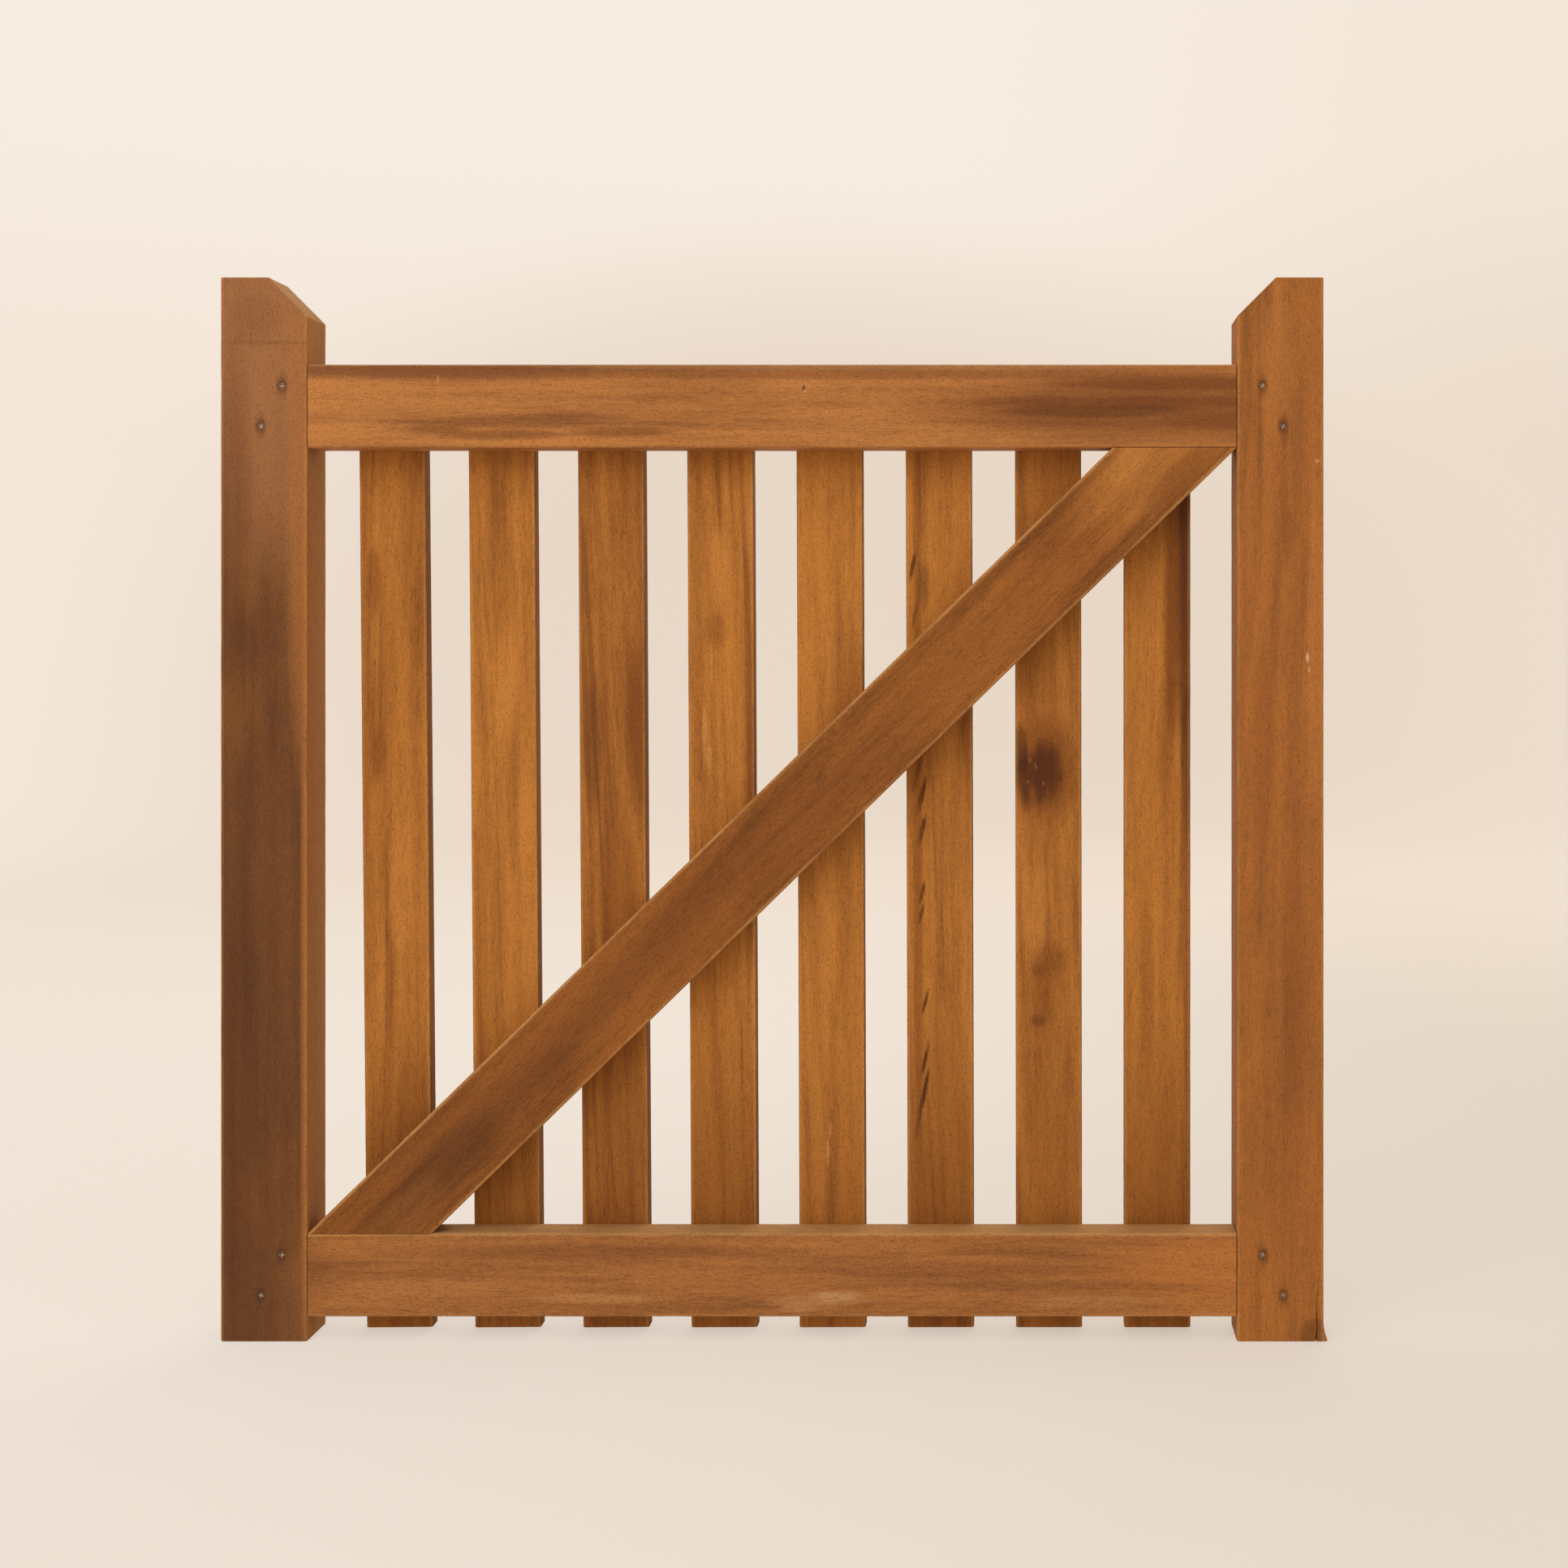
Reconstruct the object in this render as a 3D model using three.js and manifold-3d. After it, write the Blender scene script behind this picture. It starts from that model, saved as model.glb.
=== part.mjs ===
// A framed, ledged and braced garden gate leaf in oiled hardwood, without its hinges or latch.
//
// Two stiles and a top rail of full depth carry a thinner bottom rail and a diagonal brace, which are
// flush with the front, and eight upright pales, which are flush with the back. The rails are tenoned
// into the stiles, and each of the four joints is pinned by two star-section aluminium dowels. The
// pales are nailed from the back into both rails and, where they cross it, into the brace.
//
// Millimetres, +Z up. The origin is on the ground under the middle of the leaf. The front, which shows
// the brace, faces -Y, and the hinge stile is at -X, because the brace runs up from the hinge side.

import * as THREE from 'three';
import { mergeVertices } from 'three/addons/utils/BufferGeometryUtils.js';
import Module from 'manifold-3d';

// ---------------------------------------------------------------- driving dimensions

const GATE_WIDTH = 900;
const GATE_HEIGHT = 868;
const FRAME_DEPTH = 45;
const STILE_WIDTH = 71;
const HORN_BEVEL = 32;            // each leg of the sloping cut at the head of a stile
const HORN_HEIGHT = 71;           // how far a stile stands above the top rail
const TOP_RAIL_HEIGHT = 68;
const BOTTOM_RAIL_HEIGHT = 68;
const BOTTOM_RAIL_CLEARANCE = 20; // from the ground to the bottom rail
const BRACE_WIDTH = 71;
const PALE_COUNT = 8;
const PALE_WIDTH = 55;
const PALE_THICKNESS = 15;
const PALE_FOOT_CLEARANCE = 1.5;  // the pales stop just clear of the ground
const PALE_REBATE_HEIGHT = 35;    // how far a pale runs up behind the top rail
const PALE_HEAD_CLEARANCE = 1;
const FIRST_PALE_LEAN = 0.5;      // degrees towards the hinge stile, fading to none at the last pale
const ARRIS = 2;                  // the planed-off corner along every board
const PALE_ARRIS = 1.5;

const TENON_THICKNESS = 15;
const TENON_LENGTH = 50;
const TENON_EDGE = 5;             // a tenon is this much narrower than its rail, above and below
const MORTISE_SLACK = 2;          // room for glue beyond the end of a tenon

const DOWEL_BACK_WOOD = 4;        // wood left behind the end of a dowel
const DOWEL_RADIUS = 3;           // to the points of the star
const DOWEL_ROOT_RADIUS = 1.1;    // to the bottom of the flutes
const DOWEL_ARM_WIDTH = 1.3;
const DOWEL_ARMS = 4;
const DOWEL_RECESS = 1;
const DOWEL_FROM_EDGE = 17.5;     // from the near edge of the rail
const DOWEL_FROM_SHOULDER = [21, 38]; // the upper dowel of a pair, then the lower one
const DOWEL_TURN = 0.55;          // radians between one driven dowel and the next

const NAIL_FRONT_WOOD = 6.4;      // wood left in front of the point of a nail
const NAIL_RADIUS = 1.3;
const NAIL_HEAD_RADIUS = 1.8;
const NAIL_HEAD_HEIGHT = 1.6;
const NAIL_POINT_HEIGHT = 3;
const NAIL_SINK = 0.6;            // how far a head is punched below the back of its pale
const NAIL_FROM_PALE_EDGE = 13;
const NAIL_FROM_PALE_HEAD = 17;

const GAP = 0.3;                  // between any two pieces that touch
const OVERCUT = 1;                // how far a cutter runs out past the face it starts from
const BORE_SIDES = 8;

// ---------------------------------------------------------------- worked out from them

const FRONT = -FRAME_DEPTH / 2;
const BACK = FRAME_DEPTH / 2;
const PALE_FACE = BACK - PALE_THICKNESS; // where the pales' front faces lie
const LEDGE_BACK = PALE_FACE - GAP;      // the back of the bottom rail, the brace and the tenons
const LEDGE_DEPTH = LEDGE_BACK - FRONT;
const LEDGE_MIDDLE = (FRONT + LEDGE_BACK) / 2;

const DOWEL_LENGTH = FRAME_DEPTH - DOWEL_RECESS - DOWEL_BACK_WOOD;
const NAIL_LENGTH = FRAME_DEPTH - NAIL_SINK - NAIL_FRONT_WOOD;

const OPENING_WIDTH = GATE_WIDTH - 2 * STILE_WIDTH;
const OPENING_SIDE = OPENING_WIDTH / 2;
const TOP_RAIL_TOP = GATE_HEIGHT - HORN_HEIGHT;
const OPENING_TOP = TOP_RAIL_TOP - TOP_RAIL_HEIGHT;
const OPENING_BOTTOM = BOTTOM_RAIL_CLEARANCE + BOTTOM_RAIL_HEIGHT;
const OPENING_HEIGHT = OPENING_TOP - OPENING_BOTTOM;

const REBATE_TOP = OPENING_TOP + PALE_REBATE_HEIGHT;
const PALE_HEAD = REBATE_TOP - PALE_HEAD_CLEARANCE;
const PALE_LENGTH = PALE_HEAD - PALE_FOOT_CLEARANCE;
const PALE_MIDDLE = PALE_FOOT_CLEARANCE + PALE_LENGTH / 2;
const PALE_SPACE = (OPENING_WIDTH - PALE_COUNT * PALE_WIDTH) / (PALE_COUNT + 1);
const PALE_PITCH = PALE_WIDTH + PALE_SPACE;
const NAIL_ASIDE = PALE_WIDTH / 2 - NAIL_FROM_PALE_EDGE; // from the middle line of a pale

// The brace fits corner to corner: its upper edge starts in the corner of the bottom rail and the hinge
// stile, its lower edge ends in the corner of the top rail and the latch stile, and both its ends are cut
// along the rails. Its slope therefore follows from the opening and from its own width.
const BRACE_RUN = OPENING_WIDTH - 2 * GAP;
const BRACE_RISE = OPENING_HEIGHT - 2 * GAP;
const BRACE_DIAGONAL = Math.hypot(BRACE_RUN, BRACE_RISE);
const BRACE_SLOPE = Math.atan2(BRACE_RISE, BRACE_RUN) + Math.asin(BRACE_WIDTH / BRACE_DIAGONAL);

// ---------------------------------------------------------------- solids

const wasm = await Module();
wasm.setup();

function toSolid(geometry) {
  const bare = geometry.index ? geometry.toNonIndexed() : geometry.clone();
  bare.deleteAttribute('normal');
  bare.deleteAttribute('uv');
  const merged = mergeVertices(bare, 1e-4);
  const mesh = new wasm.Mesh({
    numProp: 3,
    vertProperties: new Float32Array(merged.attributes.position.array),
    triVerts: new Uint32Array(merged.index.array),
  });
  return new wasm.Manifold(mesh);
}

function toGeometry(solid) {
  const mesh = solid.getMesh();
  const geometry = new THREE.BufferGeometry();
  geometry.setAttribute('position', new THREE.BufferAttribute(new Float32Array(mesh.vertProperties), 3));
  geometry.setIndex(new THREE.BufferAttribute(new Uint32Array(mesh.triVerts), 1));
  geometry.computeVertexNormals();
  return geometry;
}

// A block between two corners, as a cutter placed in the gate's own frame.
function block(low, high) {
  const size = new THREE.Vector3().subVectors(high, low);
  const middle = new THREE.Vector3().addVectors(high, low).multiplyScalar(0.5);
  return new THREE.BoxGeometry(size.x, size.y, size.z).translate(middle.x, middle.y, middle.z);
}

// A round bore along Y, as a cutter placed in the gate's own frame.
function bore(x, z, radius, yFrom, yTo) {
  const geometry = new THREE.CylinderGeometry(radius, radius, yTo - yFrom, BORE_SIDES);
  return geometry.translate(x, (yFrom + yTo) / 2, z);
}

// ---------------------------------------------------------------- finishes

function wood(colour, roughness) {
  return new THREE.MeshStandardMaterial({ color: colour, roughness, metalness: 0 });
}

function metal(colour, roughness) {
  return new THREE.MeshStandardMaterial({ color: colour, roughness, metalness: 1 });
}

const FINISH = {
  hinge_stile: () => wood('#74482b', 0.55),
  latch_stile: () => wood('#9a5d30', 0.55),
  rail: () => wood('#a5683a', 0.55),
  brace: () => wood('#945c35', 0.5),
  pale: () => wood('#a4652f', 0.5),
  dowel: () => metal('#bdb09c', 0.45),
  nail: () => metal('#8d8a85', 0.5),
};

// ---------------------------------------------------------------- timbers

// A planed board: a rectangle with its four corners taken off, carried along its length. It is made
// upright and centred on the origin, width along X and depth along Y.
function boardGeometry(width, depth, length, arris) {
  const x = width / 2;
  const y = depth / 2;
  const section = new THREE.Shape();
  section.moveTo(x - arris, -y);
  section.lineTo(x, -y + arris);
  section.lineTo(x, y - arris);
  section.lineTo(x - arris, y);
  section.lineTo(-x + arris, y);
  section.lineTo(-x, y - arris);
  section.lineTo(-x, -y + arris);
  section.lineTo(-x + arris, -y);
  const geometry = new THREE.ExtrudeGeometry(section, { depth: length, bevelEnabled: false });
  return geometry.translate(0, 0, -length / 2);
}

// Places a board by its middle and by its tilt away from upright, towards +X, in radians.
function timber(name, finish, { width, depth, length, arris, middle, tilt = 0 }) {
  const mesh = new THREE.Mesh(boardGeometry(width, depth, length, arris), finish());
  mesh.name = name;
  mesh.position.copy(middle);
  mesh.rotation.y = tilt;
  mesh.updateMatrixWorld();
  return mesh;
}

// Cuts a timber with cutters that are placed in the gate's own frame.
function cut(mesh, cutters) {
  const intoMesh = mesh.matrixWorld.clone().invert();
  let solid = toSolid(mesh.geometry);
  for (const cutter of cutters) {
    solid = solid.subtract(toSolid(cutter.clone().applyMatrix4(intoMesh)));
  }
  mesh.geometry = toGeometry(solid);
}

// Keeps only the part of a timber that lies inside a shape placed in the gate's own frame.
function trim(mesh, shape) {
  const intoMesh = mesh.matrixWorld.clone().invert();
  const inside = toSolid(shape.clone().applyMatrix4(intoMesh));
  mesh.geometry = toGeometry(toSolid(mesh.geometry).intersect(inside));
}

// side is -1 for the hinge stile and +1 for the latch stile.
function stile(name, finish, side) {
  return timber(name, finish, {
    width: STILE_WIDTH,
    depth: FRAME_DEPTH,
    length: GATE_HEIGHT,
    arris: ARRIS,
    middle: new THREE.Vector3(side * (GATE_WIDTH - STILE_WIDTH) / 2, 0, GATE_HEIGHT / 2),
  });
}

// The wedge taken off the inner top corner of a stile: a triangle carried through the stile's depth.
function hornWedge(side) {
  const innerFace = side * OPENING_SIDE;
  const outline = new THREE.Shape();
  const reach = HORN_BEVEL + OVERCUT;
  outline.moveTo(innerFace + side * HORN_BEVEL + side * OVERCUT, GATE_HEIGHT + OVERCUT);
  outline.lineTo(innerFace - side * OVERCUT, GATE_HEIGHT + OVERCUT);
  outline.lineTo(innerFace - side * OVERCUT, GATE_HEIGHT - reach);
  const thickness = FRAME_DEPTH + 2 * OVERCUT;
  const wedge = new THREE.ExtrudeGeometry(outline, { depth: thickness, bevelEnabled: false });
  // The outline was drawn in X and Z: stand it up, so that its own +Z runs towards -Y.
  return wedge.rotateX(Math.PI / 2).translate(0, thickness / 2, 0);
}

function rail(name, finish, { low, high, back }) {
  const depth = back - FRONT;
  return timber(name, finish, {
    width: high - low,
    depth,
    length: OPENING_WIDTH + 2 * TENON_LENGTH,
    arris: ARRIS,
    middle: new THREE.Vector3(0, (FRONT + back) / 2, (low + high) / 2),
    tilt: Math.PI / 2,
  });
}

// The tenon of a rail at one side, grown all round by the given clearance.
function tenonBlock(side, low, high, clearance, slack) {
  const root = side * (OPENING_SIDE - OVERCUT);
  const tip = side * (OPENING_SIDE + TENON_LENGTH + slack);
  return block(
    new THREE.Vector3(Math.min(root, tip), LEDGE_BACK - TENON_THICKNESS - clearance,
      low + TENON_EDGE - clearance),
    new THREE.Vector3(Math.max(root, tip), LEDGE_BACK + clearance, high - TENON_EDGE + clearance),
  );
}

// Everything of a rail that is cut away beyond its shoulder, so that only the tenon stays: the waste in
// front of it, below it, above it and, on a rail of full depth, behind it.
function tenonWaste(side, low, high, back) {
  const shoulder = side * (OPENING_SIDE - GAP);
  const end = side * (OPENING_SIDE + TENON_LENGTH + OVERCUT);
  const wasteBlock = (yLow, yHigh, zLow, zHigh) => block(
    new THREE.Vector3(Math.min(shoulder, end), yLow, zLow),
    new THREE.Vector3(Math.max(shoulder, end), yHigh, zHigh),
  );
  const before = FRONT - OVERCUT;
  const after = BACK + OVERCUT;
  const under = low - OVERCUT;
  const over = high + OVERCUT;
  const waste = [
    wasteBlock(before, LEDGE_BACK - TENON_THICKNESS, under, over),
    wasteBlock(before, after, under, low + TENON_EDGE),
    wasteBlock(before, after, high - TENON_EDGE, over),
  ];
  if (back > LEDGE_BACK) waste.push(wasteBlock(LEDGE_BACK, after, under, over));
  return waste;
}

// The space that the pales run up into, behind the foot of the top rail, open at the back and below.
function paleRebate() {
  return block(
    new THREE.Vector3(-OPENING_SIDE, LEDGE_BACK, OPENING_TOP - OVERCUT),
    new THREE.Vector3(OPENING_SIDE, BACK + OVERCUT, REBATE_TOP),
  );
}

// The brace is made too long, and its ends are then cut along the rails.
function brace(name) {
  const mesh = timber(name, FINISH.brace, {
    width: BRACE_WIDTH,
    depth: LEDGE_DEPTH,
    length: BRACE_DIAGONAL + 2 * BRACE_WIDTH,
    arris: ARRIS,
    middle: new THREE.Vector3(0, LEDGE_MIDDLE, (OPENING_BOTTOM + OPENING_TOP) / 2),
    tilt: Math.PI / 2 - BRACE_SLOPE,
  });
  trim(mesh, block(
    new THREE.Vector3(-GATE_WIDTH, FRONT - OVERCUT, OPENING_BOTTOM + GAP),
    new THREE.Vector3(GATE_WIDTH, BACK, OPENING_TOP - GAP),
  ));
  return mesh;
}

// The pales stand at an even pitch. The first leans a little towards the hinge stile, and each of the
// others a little less, down to none.
const paleLean = (index) => THREE.MathUtils.degToRad(FIRST_PALE_LEAN) * (1 - index / (PALE_COUNT - 1));
const paleX = (index) => (index - (PALE_COUNT - 1) / 2) * PALE_PITCH;

// Where the middle line of a pale, moved sideways by aside, is at a height z.
const paleXAt = (index, z, aside = 0) => (
  paleX(index) + aside - (z - PALE_MIDDLE) * Math.tan(paleLean(index))
);

function pale(name, index) {
  return timber(name, FINISH.pale, {
    width: PALE_WIDTH,
    depth: PALE_THICKNESS,
    length: PALE_LENGTH,
    arris: PALE_ARRIS,
    middle: new THREE.Vector3(paleX(index), BACK - PALE_THICKNESS / 2, PALE_MIDDLE),
    tilt: -paleLean(index),
  });
}

// ---------------------------------------------------------------- fasteners

// A star: blunt arms at equal angles, with a flute between each two.
function starShape() {
  const halfTip = Math.asin(DOWEL_ARM_WIDTH / 2 / DOWEL_RADIUS);
  const armStep = (2 * Math.PI) / DOWEL_ARMS;
  const points = [];
  for (let arm = 0; arm < DOWEL_ARMS; arm += 1) {
    const angle = arm * armStep;
    const corners = [
      [angle - halfTip, DOWEL_RADIUS],
      [angle + halfTip, DOWEL_RADIUS],
      [angle + armStep / 2, DOWEL_ROOT_RADIUS],
    ];
    points.push(...corners.map(([turn, radius]) => (
      new THREE.Vector2(radius * Math.cos(turn), radius * Math.sin(turn))
    )));
  }
  return new THREE.Shape(points);
}

// A dowel lies along Y, driven in from the front.
function dowel(name, { x, z, turn }) {
  const geometry = new THREE.ExtrudeGeometry(starShape(), { depth: DOWEL_LENGTH, bevelEnabled: false });
  const mesh = new THREE.Mesh(geometry.rotateX(-Math.PI / 2), FINISH.dowel());
  mesh.name = name;
  mesh.position.set(x, FRONT + DOWEL_RECESS, z);
  mesh.rotation.y = turn;
  return mesh;
}

function dowelBore({ x, z }) {
  return bore(x, z, DOWEL_RADIUS / Math.cos(Math.PI / BORE_SIDES) + GAP, FRONT - OVERCUT,
    FRONT + DOWEL_RECESS + DOWEL_LENGTH + GAP);
}

// A lost-head nail lies along Y, driven in from the back: a point, a shank and a small tapered head.
function nail(name, { x, z }) {
  const neck = NAIL_LENGTH - NAIL_HEAD_HEIGHT;
  const profile = [
    new THREE.Vector2(0, 0),
    new THREE.Vector2(NAIL_RADIUS, NAIL_POINT_HEIGHT),
    new THREE.Vector2(NAIL_RADIUS, neck),
    new THREE.Vector2(NAIL_HEAD_RADIUS, neck + NAIL_HEAD_HEIGHT / 2),
    new THREE.Vector2(NAIL_HEAD_RADIUS, NAIL_LENGTH),
    new THREE.Vector2(0, NAIL_LENGTH),
  ];
  const mesh = new THREE.Mesh(new THREE.LatheGeometry(profile, BORE_SIDES), FINISH.nail());
  mesh.name = name;
  mesh.position.set(x, BACK - NAIL_SINK - NAIL_LENGTH, z);
  return mesh;
}

function nailBores({ x, z }) {
  const headFrom = BACK - NAIL_SINK - NAIL_HEAD_HEIGHT - GAP;
  return [
    bore(x, z, NAIL_RADIUS + GAP, BACK - NAIL_SINK - NAIL_LENGTH - GAP, BACK + OVERCUT),
    bore(x, z, NAIL_HEAD_RADIUS + GAP, headFrom, BACK + OVERCUT),
  ];
}

// ---------------------------------------------------------------- assembly

const gate = new THREE.Group();

const stiles = [
  { mesh: stile('hinge_stile', FINISH.hinge_stile, -1), side: -1 },
  { mesh: stile('latch_stile', FINISH.latch_stile, 1), side: 1 },
];
const rails = [
  { label: 'top', low: OPENING_TOP, high: TOP_RAIL_TOP, back: BACK },
  { label: 'bottom', low: BOTTOM_RAIL_CLEARANCE, high: OPENING_BOTTOM, back: LEDGE_BACK },
];
for (const span of rails) span.mesh = rail(`${span.label}_rail`, FINISH.rail, span);
const braceMesh = brace('brace');
const pales = Array.from({ length: PALE_COUNT }, (_, index) => pale(`pale_${index + 1}`, index));

// Where each dowel goes, and the two timbers that it pins together. In a pair, the dowel nearer the
// shoulder is the higher one.
const dowels = [];
for (const { mesh: stileMesh, side } of stiles) {
  for (const { mesh: railMesh, label, low, high } of rails) {
    const sideLabel = side < 0 ? 'hinge' : 'latch';
    const pair = [
      { place: 'upper', z: high - DOWEL_FROM_EDGE, inset: DOWEL_FROM_SHOULDER[0] },
      { place: 'lower', z: low + DOWEL_FROM_EDGE, inset: DOWEL_FROM_SHOULDER[1] },
    ];
    for (const { place, z, inset } of pair) {
      dowels.push({
        name: `dowel_${sideLabel}_${label}_${place}`,
        x: side * (OPENING_SIDE + inset),
        z,
        turn: dowels.length * DOWEL_TURN,
        through: [stileMesh, railMesh],
      });
    }
  }
}

// Where each nail goes: two through a pale into each rail, and one into the brace where the brace
// crosses the pale well away from both rails.
const nails = [];
const [topSpan, bottomSpan] = rails;
const nailRows = [
  { label: 'top', z: PALE_HEAD - NAIL_FROM_PALE_HEAD, railMesh: topSpan.mesh },
  { label: 'bottom', z: (bottomSpan.low + bottomSpan.high) / 2, railMesh: bottomSpan.mesh },
];
pales.forEach((paleMesh, index) => {
  for (const { label, z, railMesh } of nailRows) {
    for (const [place, aside] of [['left', -NAIL_ASIDE], ['right', NAIL_ASIDE]]) {
      nails.push({
        name: `nail_${label}_${index + 1}_${place}`,
        x: paleXAt(index, z, aside),
        z,
        through: [paleMesh, railMesh],
      });
    }
  }
  const isEndPale = index === 0 || index === PALE_COUNT - 1;
  if (!isEndPale) {
    const z = (OPENING_BOTTOM + OPENING_TOP) / 2 + paleX(index) * Math.tan(BRACE_SLOPE);
    nails.push({
      name: `nail_brace_${index + 1}`,
      x: paleXAt(index, z),
      z,
      through: [paleMesh, braceMesh],
    });
  }
});

const boresFor = (mesh) => [
  ...dowels.filter(({ through }) => through.includes(mesh)).map(dowelBore),
  ...nails.filter(({ through }) => through.includes(mesh)).flatMap(nailBores),
];

for (const { mesh, side } of stiles) {
  const mortises = rails.map(({ low, high }) => tenonBlock(side, low, high, GAP, MORTISE_SLACK));
  cut(mesh, [hornWedge(side), ...mortises, ...boresFor(mesh)]);
}
for (const { mesh, low, high, back } of rails) {
  const tenonCuts = stiles.flatMap(({ side }) => tenonWaste(side, low, high, back));
  const rebates = back > LEDGE_BACK ? [paleRebate()] : [];
  cut(mesh, [...tenonCuts, ...rebates, ...boresFor(mesh)]);
}
for (const mesh of [braceMesh, ...pales]) cut(mesh, boresFor(mesh));

gate.add(...stiles.map(({ mesh }) => mesh), ...rails.map(({ mesh }) => mesh), braceMesh, ...pales);
gate.add(...dowels.map((place) => dowel(place.name, place)));
gate.add(...nails.map((place) => nail(place.name, place)));

export default gate;
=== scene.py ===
"""A garden gate leaf in oiled hardwood: stiles, rails, brace, pales, dowels and nails, on a pale stage."""

import math

import bmesh
import bpy
import numpy as np
from bpy.props import FloatProperty, FloatVectorProperty, IntProperty, PointerProperty
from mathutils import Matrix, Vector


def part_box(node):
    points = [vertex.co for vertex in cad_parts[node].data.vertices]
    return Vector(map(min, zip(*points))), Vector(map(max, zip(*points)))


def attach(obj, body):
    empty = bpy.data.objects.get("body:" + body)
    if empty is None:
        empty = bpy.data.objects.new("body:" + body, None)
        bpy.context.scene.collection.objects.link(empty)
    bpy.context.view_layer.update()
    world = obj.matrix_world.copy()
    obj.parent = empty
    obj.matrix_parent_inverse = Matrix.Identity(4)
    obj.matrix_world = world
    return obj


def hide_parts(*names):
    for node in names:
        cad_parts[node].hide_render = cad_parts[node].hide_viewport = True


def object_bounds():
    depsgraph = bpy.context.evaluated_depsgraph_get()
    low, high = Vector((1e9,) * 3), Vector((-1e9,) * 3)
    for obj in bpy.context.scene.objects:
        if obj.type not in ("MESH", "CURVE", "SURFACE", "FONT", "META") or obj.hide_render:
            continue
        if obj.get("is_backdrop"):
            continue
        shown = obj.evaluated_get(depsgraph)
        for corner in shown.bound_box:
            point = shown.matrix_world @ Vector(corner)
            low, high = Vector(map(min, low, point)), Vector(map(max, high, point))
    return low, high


bl_info = {
    "name": "Garden Gate Leaf",
    "version": (1, 0, 0),
    "blender": (4, 5, 0),
    "location": "3D View > Sidebar > Gate",
    "description": "Makes a braced garden gate leaf in oiled hardwood, with its dowels, nails and stage",
    "category": "Object",
}

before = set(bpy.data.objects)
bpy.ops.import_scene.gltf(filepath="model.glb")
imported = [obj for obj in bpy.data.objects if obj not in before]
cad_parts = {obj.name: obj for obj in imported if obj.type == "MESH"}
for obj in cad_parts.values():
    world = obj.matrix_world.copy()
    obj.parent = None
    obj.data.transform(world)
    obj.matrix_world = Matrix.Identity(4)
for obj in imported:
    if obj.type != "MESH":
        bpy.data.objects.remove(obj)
CAD_LOW, CAD_HIGH = (np.array(corner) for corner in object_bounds())

BODY = "root"
QUARTER_TURN = math.pi / 2
FULL_TURN = 2 * math.pi
SHARP_ANGLE = math.radians(28)

# Where each piece's random draws start. The pales' own seeds count up from the first.
SEEDS = {"hinge_stile": 11, "latch_stile": 12, "top_rail": 21, "bottom_rail": 22, "brace": 31,
         "pale_grain": 40, "pales": 41, "dowels": 50}


# ---- places, from the frame


def box_of(node):
    """The lowest and highest corner of a CAD node, as arrays."""
    low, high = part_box(node)
    return np.array(low), np.array(high)


def nodes_named(start):
    """The CAD nodes whose names start so, in order."""
    return sorted(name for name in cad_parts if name.startswith(start))


def axis_of(node):
    """A fastener's own box, and its axis along Y as a point at y = 0."""
    low, high = box_of(node)
    return low, high, np.array([(low[0] + high[0]) / 2, 0.0, (low[2] + high[2]) / 2])


# Half the opening's width, the plane that the pales lie against, and the gate's front and back.
OPENING_SIDE = box_of("latch_stile")[0][0]
LEDGE_BACK = box_of("bottom_rail")[1][1]
FRONT, BACK = CAD_LOW[1], CAD_HIGH[1]
PALE_NODES = nodes_named("pale_")


class Board:
    """A board's own frame: x across its face, y through it and z along it, turned about Y by its tilt."""

    def __init__(self, centre, tilt, width, depth, length):
        self.centre, self.tilt = np.array(centre, float), tilt
        self.width, self.depth, self.length = width, depth, length

    def to_world(self, points):
        """Turns points about Y by the tilt and moves them to the board's centre."""
        x, y, z = points[..., 0], points[..., 1], points[..., 2]
        c, s = math.cos(self.tilt), math.sin(self.tilt)
        return np.stack([x * c + z * s, y, z * c - x * s], -1) + self.centre

    def to_board(self, point):
        """The inverse of to_world."""
        x, y, z = np.array(point, float) - self.centre
        c, s = math.cos(self.tilt), math.sin(self.tilt)
        return np.array([x * c - z * s, y, z * c + x * s])


def upright_board(node):
    """A board that stands square in its box."""
    low, high = box_of(node)
    width, depth, length = high - low
    return Board((low + high) / 2, 0.0, width, depth, length)


def level_board(node):
    """A board that lies along X in its box."""
    low, high = box_of(node)
    length, depth, width = high - low
    return Board((low + high) / 2, QUARTER_TURN, width, depth, length)


def leaning_board(node, width):
    """A board whose lean a is what widens its box: box width = width cos a + length sin a."""
    low, high = box_of(node)
    box_width, depth, height = high - low
    lean = math.asin(max(0.0, box_width - width) / height)
    length = (height - width * math.sin(lean)) / math.cos(lean)
    return Board((low + high) / 2, -lean, width, depth, length)


def corner_to_corner_board(node, width):
    """A board between two level cuts, from corner to corner of its box.

    Its slope is atan(rise / run) + asin(width / diagonal).
    """
    low, high = box_of(node)
    run, depth, rise = high - low
    slope = math.atan2(rise, run) + math.asin(width / math.hypot(run, rise))
    length = rise / math.sin(slope)
    return Board((low + high) / 2, QUARTER_TURN - slope, width, depth, length)


# ---- surfaces


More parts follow.
